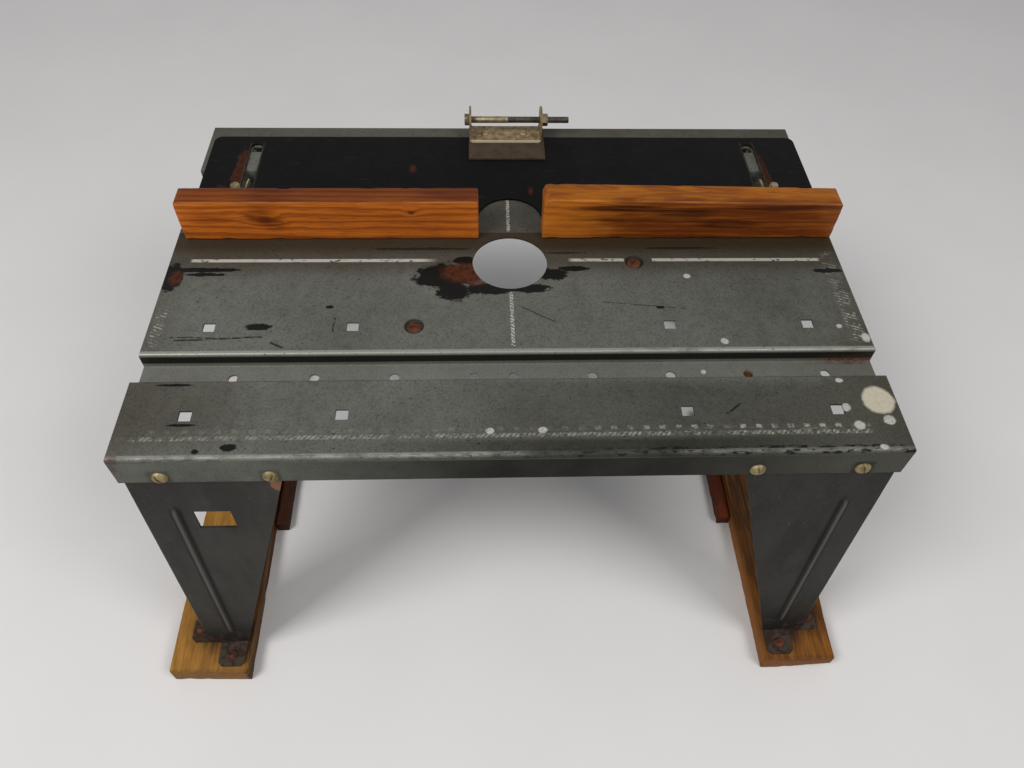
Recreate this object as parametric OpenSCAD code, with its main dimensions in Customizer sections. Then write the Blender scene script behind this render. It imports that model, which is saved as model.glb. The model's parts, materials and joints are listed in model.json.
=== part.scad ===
// Benchtop table for a router or a sabre saw: a formed steel top on four
// splayed sheet steel legs, screwed to two flat wooden runners, with a
// sliding fence that is clamped by two wing nuts.
// Origin: on the floor, under the middle of the top. +X right, +Y back, +Z up.

/* [Table top] */
// Length of the top, left to right
top_l = 457; // [430:1:500]
// Depth of the top, front to back
top_w = 312; // [300:1:340]
// Height of the top's working surface above the floor
top_h = 266; // [220:1:330]
// Thickness of the formed sheet
sheet_t = 1.5; // [1.2:0.1:1.7]
// Height of the folded edges
apron_h = 24; // [22:0.5:34]
// Diameter of the opening for the bit or the blade
bit_hole_d = 50.8; // [30:0.1:70]
// Radius of the circle that the router screws stand on
router_screw_ring_r = 85.2; // [75:0.1:95]
// Angle between the right router screw and each of the other two
router_screw_angle = 137.1; // [125:0.1:140]
// Side of the square holes for carriage bolts
square_hole = 7.4; // [6.8:0.1:8.5]
// Distance from the middle to the outer columns of square holes
square_outer_x = 190.5; // [175:0.5:198]
// Distance from the middle to the inner columns of square holes
square_inner_x = 101; // [90:0.5:120]
// Distance from the middle to the inner rows of square holes
square_inner_y = 58; // [52:0.5:64]
// Distance from the middle to the outer rows of square holes
square_outer_y = 126.5; // [120:0.5:132]

/* [Mitre channels] */
// Clear width of each channel
channel_w = 20; // [18:0.1:24]
// Depth of each channel below the working surface
channel_d = 11; // [8:0.1:13]
// Distance from a long edge of the top to the nearer wall of its channel
land_w = 55.5; // [50:0.5:58]
// Diameter of the holes in the channel floors
channel_hole_d = 6.2; // [4:0.1:8]
// Distance from one channel hole to the next
channel_hole_pitch = 49.2; // [40:0.1:50]
// Number of channel holes from the middle to the right
channel_holes_right = 5; // [1:1:5]
// Number of channel holes left of the middle
channel_holes_left = 4; // [1:1:4]

/* [Legs] */
// Thickness of the leg sheet
leg_t = 1.6; // [1.2:0.1:2]
// Width of a leg's front panel at the top
leg_top_w = 91; // [85:0.5:100]
// Width of a leg's front panel at the foot
leg_foot_w = 30; // [29:0.5:38]
// Width of a leg's side panel at the top
leg_side_top_w = 50; // [36:0.5:52]
// Width of a leg's side panel at the foot
leg_side_foot_w = 29; // [27:0.5:34]
// How far a foot stands out to the front or the back
splay_front = 12; // [4:0.5:16]
// How far a foot stands out to the side
splay_side = 8; // [2:0.5:12]
// Width of the foot tabs
tab_w = 20; // [16:0.5:21]
// Length of a front foot tab
tab_l = 19; // [16:0.5:22]
// Length of a side foot tab
side_tab_l = 14; // [12:0.5:16]
// Radius of the stiffening bead on a leg
bead_r = 2.6; // [2.3:0.1:3]
// Distance from a leg's outer edge to the middle of its bead
bead_inset = 21.5; // [18:0.5:24]
// Width of the switch opening in the left front leg
switch_w = 23; // [15:0.5:26]
// Height of the switch opening
switch_h = 19; // [12:0.5:26]

/* [Runners] */
// Length of a wooden runner
runner_l = 380; // [374:1:440]
// Width of a wooden runner
runner_w = 60; // [54:0.5:70]
// Thickness of a wooden runner
runner_t = 18; // [15:0.5:22]
// Distance from the middle to a runner's inner edge
runner_inner_x = 202; // [198:0.5:203]
// Length of the strip along a runner's inner side
cleat_l = 120; // [80:1:200]
// Width of that strip
cleat_w = 11; // [9:0.5:16]
// Height of that strip
cleat_h = 12; // [8:0.5:15]

/* [Fence] */
// Thickness of the fence sheet
fence_t = 1.5; // [1.2:0.1:2]
// Length of the fence sheet, left to right
fence_l = 453.5; // [440:0.5:470]
// Depth of the fence, from the front of its boards to its rear edge
fence_w = 117.5; // [112:0.5:119]
// Height of the upright flanges behind the boards
fence_flange_h = 26; // [22:0.5:28]
// Distance from the middle of the top to the front of the boards
fence_front_y = 23; // [18:0.5:23]
// How far the fence sits to the right of the middle
fence_shift = 2.5; // [0:0.5:4]
// Radius of the notch around the bit
notch_r = 23; // [19:0.5:24]
// Width of the two adjusting slots
fence_slot_w = 9; // [8.4:0.1:10]
// How far the fence slides forward
fence_forward = 70; // [30:1:72]
// How far the fence slides back
fence_back = 1.5; // [0.5:0.5:1.5]
// Thickness of the left board
board_left_t = 16; // [14:0.5:18.5]
// Thickness of the right board
board_right_t = 18.5; // [14:0.5:18.5]
// Length of the left board
board_left_l = 201.5; // [190:0.5:204]
// Length of the right board
board_right_l = 205; // [190:0.5:210]
// Height of the left board
board_left_h = 32; // [29:0.5:40]
// Height of the right board at its inner end
board_right_h = 34; // [32:0.5:42]
// How much lower the right board is at its outer end
board_right_drop = 4; // [0:0.5:5]
// Distance between the two boards
board_gap = 44; // [40:0.5:46]

/* [Guard bracket] */
// Width of the bracket, left to right
bracket_l = 56; // [48:0.5:64]
// Width of the bracket's strip, front to back
bracket_w = 20; // [18:0.5:22]
// Thickness of the bracket's strip
bracket_t = 1.5; // [1.2:0.1:2]
// Height of the hinge bolt above the working surface
hinge_h = 16.5; // [14:0.5:20]
// Length of the guard plate, front to back
guard_plate_l = 40; // [36:0.5:42]
// Thickness of the guard plate
guard_plate_t = 1.2; // [1:0.1:1.5]
// Distance between the bracket's two rivets
rivet_pitch = 30; // [26:0.5:34]
// Diameter of the hinge bolt
hinge_d = 5; // [4:0.1:5.5]
// Length of the hinge bolt under its head
hinge_bolt_l = 77; // [75:0.5:86]

/* [Fasteners] */
// Diameter of the screws through the aprons
apron_screw_d = 4.8; // [4:0.1:5.2]
// Diameter of their heads
apron_head_d = 9.5; // [8.5:0.1:11]
// Distance of their heads' middle below the working surface
apron_screw_drop = 18.4; // [17.5:0.1:18.6]
// Distance between the two screws of one leg
apron_screw_pitch = 62.5; // [55:0.5:64]
// Diameter of the wood screws in the runners
wood_screw_d = 3.8; // [3:0.1:4.2]
// Length of the wood screws in the runners
wood_screw_l = 14; // [8:0.5:14]
// Diameter of the router screws
router_screw_d = 4.8; // [4:0.1:5]
// Length of the router screws below the working surface
router_screw_l = 25; // [14:0.5:32]
// Diameter of the dimples for the router screws
dimple_d = 13; // [12:0.1:14]
// Depth of the dimples
dimple_depth = 3.2; // [2.8:0.1:3.6]
// Diameter of the carriage bolts
carriage_d = 6.35; // [5.5:0.05:6.5]
// Height of the carriage bolts above the working surface
carriage_h = 20; // [18:0.5:24]
// Reach of each wing of a wing nut from its axis
wing_r = 13; // [11:0.5:13]
// Height of a wing nut
wing_h = 14.5; // [12:0.5:16]
// Angle of the wings from the table's length
wing_turn = 53; // [0:1:90]

/* [Hidden] */

steel_grey = [0.35, 0.35, 0.33];
leg_grey = [0.25, 0.25, 0.24];
fence_black = [0.10, 0.10, 0.10];
zinc = [0.62, 0.56, 0.40];
rusty = [0.30, 0.18, 0.13];
runner_wood = [0.60, 0.44, 0.24];
pine = [0.62, 0.33, 0.12];
oak = [0.66, 0.40, 0.14];

// Clearances
hole_clear = 0.25;
thread_clear = 0.1;
running_clear = 0.05;
seat_gap = 0.05;
slide_gap = 0.3;
stop_clear = 0.2;
overcut = 1;

// A screwdriver slot is cut down to this part of its head's height
slot_floor = 0.55;

// Bends of the top
bend_r = 2.3;
rim_r = 1.9;
floor_r = 0.8;
arc_steps = 4;
channel_outer_y = -top_w / 2 + land_w;
channel_inner_y = channel_outer_y + channel_w;
channel_mid_y = channel_outer_y + channel_w / 2;
apron_bottom_z = top_h - apron_h;
end_edge_r = 1.1;

// Dimples and router screws
dimple_hole_r = router_screw_d / 2 + hole_clear;
dimple_slope = (dimple_d / 2 - dimple_hole_r) / dimple_depth;
dimple_wall = 1.2;
router_head_r = 4.7;
router_head_h = 0.8;
router_slot_w = 1.2;
router_slot_d = 0.4;
router_head_drop = (dimple_d / 2 - router_head_r) / dimple_slope - thread_clear;
router_screw_spots = [for (a = [0, router_screw_angle, -router_screw_angle])
    router_screw_ring_r * [cos(a), sin(a)]];

// Legs: the outer faces of a leg lie against the inner faces of the aprons
leg_corner_x = top_l / 2 - sheet_t;
leg_corner_y = top_w / 2 - sheet_t;
leg_top_gap = 1;
leg_top_z = top_h - sheet_t - leg_top_gap;
knee_z = apron_bottom_z - 1;
foot_z = runner_t;
leg_drop = knee_z - foot_z;
foot_corner_x = leg_corner_x + splay_side;
foot_corner_y = leg_corner_y + splay_front;
front_lean = atan(splay_front / leg_drop);
side_lean = atan(splay_side / leg_drop);
front_slope_l = leg_drop / cos(front_lean);
side_slope_l = leg_drop / cos(side_lean);
panel_lap = 1;
bead_top_gap = 24;
bead_foot_gap = 16;
bead_taper = 9;
bead_sink = 0.5;
bead_groove_r = bead_r - 1.1;
bead_groove_sink = bead_sink + 0.6;
bead_turn = atan(splay_side / front_slope_l);
switch_top_gap = 33;
switch_gap = 9;

// Foot tabs
tab_corner = 3;
side_tab_back = 0.5;
tab_screw_inset = 8.4;
side_screw_inset = 6.2;
front_tab_mid = [foot_corner_x - leg_foot_w + tab_w / 2, foot_corner_y + tab_l - tab_screw_inset];
side_tab_mid = [foot_corner_x + side_tab_l - side_screw_inset,
    foot_corner_y - side_tab_back - tab_w / 2];
wood_head_d = 8.4;
wood_head_h = 2.8;

// Strips beside the runners
nail_r = 1.1;
nail_head_r = 2.6;
nail_head_h = 1;
nail_l = cleat_w + 14;
nail_inset = 23;

// Apron screws
apron_head_h = 2.8;
apron_slot_w = 1.2;
apron_outer_gap = 23.5;
apron_outer_x = leg_corner_x - apron_outer_gap;
apron_inner_x = apron_outer_x - apron_screw_pitch;
apron_screw_z = top_h - apron_screw_drop;
apron_nut_w = 8;
apron_nut_h = 4;
thread_end = 3;
apron_screw_l = sheet_t + leg_t + apron_nut_h + thread_end;

// Fence: places at rest
flange_left_y = fence_front_y + board_left_t;
flange_right_y = fence_front_y + board_right_t;
fence_rear_y = fence_front_y + fence_w;
fence_left_x = -fence_l / 2 + fence_shift;
fence_right_x = fence_l / 2 + fence_shift;
fence_bend_r = fence_t + 0.7;
fence_corner_r = 6;
notch_x = 1;
notch_mid_y = fence_front_y + 19.4;
fence_top_z = top_h + fence_t;
board_z = top_h + slide_gap;
board_left_x = notch_x - board_gap / 2 - board_left_l;
board_right_x = notch_x + board_gap / 2;
board_corner_r = 2;
board_screw_l = 11;
board_screw_inset = 60;
board_screw_z = top_h + 15;
board_head_h = 2.4;
wood_slot_w = 1.1;

// Fence clamps: the square neck of each bolt stays inside the sheet of the top
neck_w = square_hole - 0.9;
stop_r = carriage_d / 2 + stop_clear;
slot_front_mid_y = square_inner_y - fence_back - stop_r + fence_slot_w / 2;
slot_rear_mid_y = square_inner_y + fence_forward + stop_r - fence_slot_w / 2;
carriage_head_r = 7.2;
carriage_head_h = 3.4;
washer_r = 8;
washer_t = 1.4;
nut_base_z = fence_top_z + washer_t + seat_gap;
nut_hub_r = 5.6;
nut_hub_top_r = 4.8;
nut_hub_h = 7.5;
wing_t = 2.4;
wing_root_x = 4;
wing_root_low_z = 1;
wing_root_high_z = 6.8;
wing_outline = [[wing_root_x, wing_root_low_z], [nut_hub_r + 1.5, 2.2], [wing_r - 3.4, 5.4],
                [wing_r - 1, 8.2], [wing_r, wing_h - 3], [wing_r - 1, wing_h - 0.8],
                [wing_r - 3, wing_h], [wing_r - 4.8, wing_h - 1.2], [nut_hub_r + 0.9, 9],
                [wing_root_x, wing_root_high_z]];

// Guard bracket: its strip stands on the rear half of the guard plate
bracket_x = 0.5;
bracket_left_x = bracket_x - bracket_l / 2;
bracket_right_x = bracket_x + bracket_l / 2;
guard_plate_left_x = bracket_left_x - 0.5;
guard_plate_right_x = bracket_right_x + 2;
guard_overhang = 11;
guard_plate_rear_y = fence_rear_y + guard_overhang;
bracket_mid_y = guard_plate_rear_y - bracket_w / 2;
bracket_base_z = fence_top_z + guard_plate_t;
bracket_bend_r = bracket_t + 1.5;
hinge_z = top_h + hinge_h;
hinge_head_w = 8;
hinge_head_h = 3.6;
hinge_nut_h = 4.5;
rivet_mid_x = bracket_x - 1;
rivet_head_r = 3;
rivet_shank_r = 1.8;
rivet_head_h = 1.8;

// Points along an arc from angle a0 to angle a1
function arc(mid, r, a0, a1) =
    [for (i = [0:arc_steps]) let (a = a0 + (a1 - a0) * i / arc_steps) mid + r * [cos(a), sin(a)]];

function mirrored(points) = [for (i = [len(points) - 1:-1:0]) [-points[i][0], points[i][1]]];

function reversed(points) = [for (i = [len(points) - 1:-1:0]) points[i]];

// The front half of the top's section, in depth and height, at a depth below its outer skin
function half_skin(depth) = concat(
    [[-top_w / 2 + depth, apron_bottom_z]],
    arc([-top_w / 2 + bend_r, top_h - bend_r], bend_r - depth, 180, 90),
    arc([channel_outer_y - rim_r, top_h - rim_r], rim_r - depth, 90, 0),
    arc([channel_outer_y + floor_r, top_h - channel_d + floor_r], floor_r + depth, 180, 270),
    arc([channel_inner_y - floor_r, top_h - channel_d + floor_r], floor_r + depth, 270, 360),
    arc([channel_inner_y + rim_r, top_h - rim_r], rim_r - depth, 180, 90));

function skin(depth) = concat(half_skin(depth), mirrored(half_skin(depth)));

// The end flange below the front land, and the one below the middle land
front_end_outline = concat(
    [[-top_w / 2, apron_bottom_z]],
    arc([-top_w / 2 + bend_r, top_h - bend_r], bend_r, 180, 90),
    arc([channel_outer_y - rim_r, top_h - rim_r], rim_r, 90, 0),
    [[channel_outer_y, apron_bottom_z]]);
middle_end_half = concat(
    [[channel_inner_y, apron_bottom_z]],
    arc([channel_inner_y + rim_r, top_h - rim_r], rim_r, 180, 90));

// Stands an outline of depth and height up across the table and makes it l long
module along_x(l) {
    rotate([90, 0, 90]) linear_extrude(l) children();
}

// Stands an outline of length and height up, from y = 0 backwards
module along_y(l) {
    translate([0, l, 0]) rotate([90, 0, 0]) linear_extrude(l) children();
}

module both_sides() {
    children();
    mirror([1, 0, 0]) children();
}

module four_corners() {
    for (back = [0, 1]) mirror([0, back, 0]) both_sides() children();
}

module bar_x(r, x0, x1) {
    translate([x0, 0, 0]) rotate([0, 90, 0]) cylinder(h = x1 - x0, r = r, $fn = 48);
}

module hex(w, h) {
    cylinder(h = h, d = w / cos(30), $fn = 6);
}

// A low domed head with its flat side down on z = 0
module dome(r, h, slot_w = 0) {
    ball_r = (r * r + h * h) / (2 * h);
    difference() {
        rotate_extrude($fn = 48)
            polygon(concat([[0, 0]], [for (i = [0:6]) let (a = asin(r / ball_r) * (1 - i / 6))
                [ball_r * sin(a), h - ball_r + ball_r * cos(a)]]));
        if (slot_w > 0)
            translate([-r - overcut, -slot_w / 2, h * slot_floor]) cube([2 * (r + overcut), slot_w, h]);
    }
}

module top_end_flanges() {
    both_sides()
        translate([top_l / 2 - sheet_t, 0, 0]) along_x(sheet_t) {
            polygon(front_end_outline);
            polygon(concat(middle_end_half, mirrored(middle_end_half)));
            polygon(mirrored(front_end_outline));
        }
}

// Takes the sharp edge off the two ends of the top
module end_edge_cut() {
    both_sides()
        translate([top_l / 2 - end_edge_r, -top_w / 2 - overcut, top_h - end_edge_r])
            along_y(top_w + 2 * overcut) difference() {
                square(end_edge_r + overcut);
                circle(r = end_edge_r, $fn = 32);
            }
}

module square_holes() {
    for (x = [square_inner_x, square_outer_x], y = [square_inner_y, square_outer_y])
        four_corners()
            translate([x - square_hole / 2, y - square_hole / 2, top_h - sheet_t - overcut])
                cube([square_hole, square_hole, sheet_t + 2 * overcut]);
}

module channel_holes() {
    for (y = [channel_mid_y, -channel_mid_y]) {
        for (i = [0:channel_holes_right - 1]) channel_hole(i * channel_hole_pitch, y);
        for (i = [0:channel_holes_left - 1]) channel_hole(-(i + 0.5) * channel_hole_pitch, y);
    }
}

module channel_hole(x, y) {
    translate([x, y, top_h - channel_d - sheet_t - overcut])
        cylinder(h = sheet_t + 2 * overcut, d = channel_hole_d, $fn = 32);
}

module apron_screw_spots() {
    four_corners() for (x = [apron_inner_x, apron_outer_x])
        translate([x, top_w / 2, apron_screw_z]) rotate([90, 0, 0]) children();
}

module table_top() {
    color(steel_grey) difference() {
        union() {
            translate([-top_l / 2, 0, 0]) along_x(top_l)
                polygon(concat(skin(0), reversed(skin(sheet_t))));
            top_end_flanges();
            for (p = router_screw_spots) translate([p[0], p[1], top_h - dimple_depth - dimple_wall])
                cylinder(h = dimple_depth + dimple_wall - sheet_t / 2,
                         r1 = dimple_hole_r + dimple_wall, r2 = dimple_d / 2 + dimple_wall, $fn = 64);
        }
        end_edge_cut();
        translate([0, 0, top_h - sheet_t - overcut])
            cylinder(h = sheet_t + 2 * overcut, d = bit_hole_d, $fn = 96);
        for (p = router_screw_spots) translate([p[0], p[1], top_h - dimple_depth]) {
            cylinder(h = dimple_depth + overcut, r1 = dimple_hole_r,
                     r2 = dimple_d / 2 + dimple_slope * overcut, $fn = 64);
            translate([0, 0, -dimple_wall - overcut])
                cylinder(h = dimple_wall + 2 * overcut, r = dimple_hole_r, $fn = 48);
        }
        square_holes();
        channel_holes();
        apron_screw_spots()
            translate([0, 0, -overcut])
                cylinder(h = sheet_t + 2 * overcut, d = apron_screw_d + 2 * hole_clear, $fn = 32);
    }
}

// The upright upper part of a leg, inside the aprons, in the rear right corner
module leg_collar() {
    h = leg_top_z - knee_z;
    translate([leg_corner_x - leg_top_w, leg_corner_y - leg_t, knee_z])
        cube([leg_top_w - leg_t, leg_t, h]);
    translate([leg_corner_x - leg_t, leg_corner_y - leg_side_top_w, knee_z])
        cube([leg_t, leg_side_top_w - leg_t, h]);
    translate([leg_corner_x - leg_t, leg_corner_y - leg_t, knee_z])
        cylinder(h = h, r = leg_t - seat_gap, $fn = 32);
}

// Leans a panel out over the back, from the knee down
module front_lean_place() {
    translate([0, leg_corner_y, knee_z]) rotate([front_lean, 0, 0])
        translate([0, -leg_t, 0]) along_y(leg_t) children();
}

module side_lean_place() {
    translate([leg_corner_x, 0, knee_z]) rotate([0, -side_lean, 0])
        translate([-leg_t, 0, 0]) along_x(leg_t) children();
}

// A long spindle of radius r along the bead, sunk below the panel's face, short of its ends by gap
module bead_spindle(r, sink, gap = 0) {
    run = front_slope_l - bead_top_gap - bead_foot_gap - 2 * gap;
    translate([0, leg_corner_y, knee_z]) rotate([front_lean, 0, 0])
        translate([leg_corner_x - bead_inset, -sink, 0]) rotate([0, -bead_turn, 0])
            translate([0, 0, -bead_top_gap - gap - run]) rotate_extrude($fn = 40)
                polygon([[0, 0], [r, bead_taper], [r, run - bead_taper], [0, run]]);
}

// A foot tab reaching from y = 0 to y = l, with its outer corners cut off
module tab_plate(l) {
    linear_extrude(leg_t)
        polygon([[-tab_w / 2, -leg_t], [tab_w / 2, -leg_t], [tab_w / 2, l - tab_corner],
                 [tab_w / 2 - tab_corner, l], [-tab_w / 2 + tab_corner, l],
                 [-tab_w / 2, l - tab_corner]]);
}

// One leg in the rear right corner of the table
module leg(with_switch = false) {
    corner_l = norm([splay_side, splay_front, leg_drop]);
    difference() {
        union() {
            leg_collar();
            front_lean_place() polygon([
                [leg_corner_x - leg_top_w, panel_lap], [leg_corner_x - leg_t, panel_lap],
                [foot_corner_x - leg_t, -front_slope_l],
                [foot_corner_x - leg_foot_w, -front_slope_l], [leg_corner_x - leg_top_w, 0]]);
            side_lean_place() polygon([
                [leg_corner_y - leg_side_top_w, panel_lap], [leg_corner_y - leg_t, panel_lap],
                [foot_corner_y - leg_t, -side_slope_l],
                [foot_corner_y - leg_side_foot_w, -side_slope_l],
                [leg_corner_y - leg_side_top_w, 0]]);
            translate([leg_corner_x - leg_t, leg_corner_y - leg_t, knee_z])
                rotate([0, 180 - acos(leg_drop / corner_l), atan2(splay_front, splay_side)])
                    cylinder(h = corner_l, r = leg_t - seat_gap, $fn = 32);
            bead_spindle(bead_r, bead_sink);
            translate([front_tab_mid[0], foot_corner_y, foot_z]) tab_plate(tab_l);
            translate([foot_corner_x, side_tab_mid[1], foot_z]) rotate([0, 0, -90])
                tab_plate(side_tab_l);
        }
        bead_spindle(bead_groove_r, bead_groove_sink, leg_t);
        translate([0, 0, foot_z - leg_t - overcut])
            linear_extrude(leg_t + overcut) square(top_l + top_w);
        if (with_switch)
            translate([0, leg_corner_y, knee_z]) rotate([front_lean, 0, 0])
                translate([leg_corner_x - bead_inset - switch_gap - switch_w,
                           -leg_t - overcut, -switch_top_gap - switch_h])
                    cube([switch_w, leg_t + 2 * overcut, switch_h]);
        for (x = [apron_inner_x, apron_outer_x])
            translate([x, leg_corner_y + overcut, apron_screw_z]) rotate([90, 0, 0])
                cylinder(h = leg_t + 2 * overcut, d = apron_screw_d + 2 * hole_clear, $fn = 32);
        for (p = [front_tab_mid, side_tab_mid]) translate([p[0], p[1], foot_z - overcut])
            cylinder(h = leg_t + 2 * overcut, d = wood_screw_d + 2 * hole_clear, $fn = 32);
    }
}

module rear_right_leg() { color(leg_grey) leg(); }

module rear_left_leg() { color(leg_grey) mirror([1, 0, 0]) leg(); }

module front_right_leg() { color(leg_grey) mirror([0, 1, 0]) leg(); }

module front_left_leg() {
    color(leg_grey) mirror([0, 1, 0]) mirror([1, 0, 0]) leg(with_switch = true);
}

module wood_screw_bores() {
    for (back = [0, 1]) mirror([0, back, 0]) for (p = [front_tab_mid, side_tab_mid])
        translate([p[0], p[1], foot_z + leg_t - wood_screw_l - thread_clear])
            cylinder(h = wood_screw_l + overcut, d = wood_screw_d + 2 * thread_clear, $fn = 32);
}

module runner() {
    difference() {
        translate([runner_inner_x, -runner_l / 2, 0]) cube([runner_w, runner_l, runner_t]);
        wood_screw_bores();
        cleat_nail_spots() nail_bore();
    }
}

module right_runner() { color(runner_wood) runner(); }

module left_runner() { color(runner_wood) mirror([1, 0, 0]) runner(); }

// Nails go in from the strip's inner side, into the runner
module cleat_nail_spots() {
    for (y = [nail_inset - cleat_l / 2, cleat_l / 2 - nail_inset])
        translate([runner_inner_x - cleat_w, y, cleat_h / 2]) rotate([0, 90, 0]) children();
}

module nail_bore() {
    translate([0, 0, -overcut])
        cylinder(h = nail_l + overcut + thread_clear, r = nail_r + thread_clear, $fn = 24);
}

module cleat() {
    difference() {
        translate([runner_inner_x - cleat_w, -cleat_l / 2, 0]) cube([cleat_w, cleat_l, cleat_h]);
        cleat_nail_spots() nail_bore();
    }
}

module right_cleat() { color(runner_wood) cleat(); }

module left_cleat() { color(runner_wood) mirror([1, 0, 0]) cleat(); }

module cleat_nails() {
    color(rusty) both_sides() cleat_nail_spots() {
        cylinder(h = nail_l, r = nail_r, $fn = 24);
        translate([0, 0, -nail_head_h]) cylinder(h = nail_head_h, r = nail_head_r, $fn = 32);
    }
}

module apron_screws() {
    color(zinc) apron_screw_spots() {
        cylinder(h = apron_screw_l, d = apron_screw_d, $fn = 32);
        rotate([180, 0, 0]) dome(apron_head_d / 2, apron_head_h, apron_slot_w);
    }
}

module apron_nuts() {
    color(zinc) apron_screw_spots() translate([0, 0, sheet_t + leg_t]) difference() {
        hex(apron_nut_w, apron_nut_h);
        translate([0, 0, -overcut])
            cylinder(h = apron_nut_h + 2 * overcut, d = apron_screw_d + 2 * thread_clear, $fn = 32);
    }
}

module foot_tab_screws() {
    color(rusty) four_corners() for (p = [front_tab_mid, side_tab_mid])
        translate([p[0], p[1], foot_z + leg_t]) {
            translate([0, 0, -wood_screw_l]) cylinder(h = wood_screw_l, d = wood_screw_d, $fn = 32);
            dome(wood_head_d / 2, wood_head_h, wood_slot_w);
        }
}

module router_screws() {
    head_l = (router_head_r - router_screw_d / 2) / dimple_slope;
    color(rusty) for (p = router_screw_spots) translate([p[0], p[1], top_h - router_head_drop])
        difference() {
            union() {
                translate([0, 0, -head_l])
                    cylinder(h = head_l, r1 = router_screw_d / 2, r2 = router_head_r, $fn = 48);
                translate([0, 0, router_head_drop - router_screw_l])
                    cylinder(h = router_screw_l - router_head_drop, d = router_screw_d, $fn = 48);
                dome(router_head_r, router_head_h);
            }
            translate([-router_head_r, -router_slot_w / 2, -router_slot_d])
                cube([2 * router_head_r, router_slot_w, router_slot_d + router_head_h]);
        }
}

module fence_clamp_spots() {
    for (x = [-square_outer_x, square_outer_x]) translate([x, square_inner_y, 0]) children();
}

module fence_bolts() {
    color(zinc) fence_clamp_spots() {
        translate([0, 0, top_h - sheet_t]) {
            cylinder(h = carriage_h + sheet_t, d = carriage_d, $fn = 48);
            translate([-neck_w / 2, -neck_w / 2, 0]) cube([neck_w, neck_w, sheet_t - seat_gap]);
            rotate([180, 0, 0]) dome(carriage_head_r, carriage_head_h);
        }
    }
}

module fence_washers() {
    color(zinc) fence_clamp_spots() translate([0, 0, fence_top_z]) difference() {
        cylinder(h = washer_t, r = washer_r, $fn = 64);
        translate([0, 0, -overcut])
            cylinder(h = washer_t + 2 * overcut, d = carriage_d + 2 * hole_clear, $fn = 48);
    }
}

module wing_nut() {
    difference() {
        union() {
            cylinder(h = nut_hub_h, r1 = nut_hub_r, r2 = nut_hub_top_r, $fn = 48);
            both_sides() translate([0, -wing_t / 2, 0]) along_y(wing_t) polygon(wing_outline);
        }
        translate([0, 0, -overcut])
            cylinder(h = wing_h + 2 * overcut, d = carriage_d + 2 * running_clear, $fn = 48);
    }
}

module right_wing_nut() {
    color(zinc) translate([square_outer_x, square_inner_y, nut_base_z])
        rotate([0, 0, 180 - wing_turn]) wing_nut();
}

module left_wing_nut() {
    color(zinc) translate([-square_outer_x, square_inner_y, nut_base_z])
        rotate([0, 0, wing_turn]) wing_nut();
}

// The fence sheet's section: a flat foot with a flange bent up along its front edge, front_y
function fence_section(front_y) = concat(
    [[fence_rear_y, fence_top_z], [fence_rear_y, top_h]],
    arc([front_y + fence_bend_r, top_h + fence_bend_r], fence_bend_r, 270, 180),
    [[front_y, top_h + fence_flange_h], [front_y + fence_t, top_h + fence_flange_h]],
    arc([front_y + fence_bend_r, top_h + fence_bend_r], fence_bend_r - fence_t, 180, 270));

module fence_slot(x) {
    mid_l = slot_rear_mid_y - slot_front_mid_y;
    translate([x, slot_front_mid_y, top_h - overcut]) {
        translate([-fence_slot_w / 2, 0, 0])
            cube([fence_slot_w, mid_l, fence_t + 2 * overcut]);
        for (y = [0, mid_l]) translate([0, y, 0])
            cylinder(h = fence_t + 2 * overcut, d = fence_slot_w, $fn = 48);
    }
}

module fence_corner_cut() {
    translate([fence_right_x - fence_corner_r, fence_rear_y - fence_corner_r, top_h - overcut])
        linear_extrude(fence_t + 2 * overcut) difference() {
            square(fence_corner_r + overcut);
            circle(r = fence_corner_r, $fn = 48);
        }
}

module board_screw_spots() {
    for (board = [[board_left_x, board_left_l, flange_left_y],
                  [board_right_x, board_right_l, flange_right_y]])
        for (x = [board_screw_inset, board[1] - board_screw_inset])
            translate([board[0] + x, board[2] + fence_t, board_screw_z]) rotate([90, 0, 0])
                children();
}

module fence_plate() {
    color(fence_black) difference() {
        union() {
            translate([fence_left_x, 0, 0]) along_x(notch_x - fence_left_x)
                polygon(fence_section(flange_left_y));
            translate([notch_x, 0, 0]) along_x(fence_right_x - notch_x)
                polygon(fence_section(flange_right_y));
        }
        translate([notch_x, notch_mid_y, top_h - overcut])
            cylinder(h = fence_t + 2 * overcut, r = notch_r, $fn = 96);
        translate([notch_x - notch_r, fence_front_y, top_h - overcut])
            cube([2 * notch_r, notch_mid_y - fence_front_y, fence_flange_h + 2 * overcut]);
        translate([notch_x - notch_r, fence_front_y, fence_top_z + overcut])
            cube([2 * notch_r, notch_mid_y - fence_front_y + notch_r, fence_flange_h]);
        fence_slot(-square_outer_x);
        fence_slot(square_outer_x);
        fence_corner_cut();
        translate([2 * fence_shift, 0, 0]) mirror([1, 0, 0]) fence_corner_cut();
        board_screw_spots() translate([0, 0, -overcut])
            cylinder(h = fence_t + 2 * overcut, d = wood_screw_d + 2 * hole_clear, $fn = 32);
    }
}

// Outline of a board in length and height, with its four corners eased
function board_outline(l, h_left, h_right) = concat(
    arc([board_corner_r, board_corner_r], board_corner_r, 270, 180),
    arc([board_corner_r, h_left - board_corner_r], board_corner_r, 180, 90),
    arc([l - board_corner_r, h_right - board_corner_r], board_corner_r, 90, 0),
    arc([l - board_corner_r, board_corner_r], board_corner_r, 0, -90));

module board_bores() {
    board_screw_spots()
        cylinder(h = fence_t + board_screw_l + thread_clear, d = wood_screw_d + 2 * thread_clear, $fn = 32);
}

module left_fence_board() {
    color(pine) difference() {
        translate([board_left_x, fence_front_y, board_z]) along_y(board_left_t)
            polygon(board_outline(board_left_l, board_left_h, board_left_h));
        board_bores();
    }
}

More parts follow.
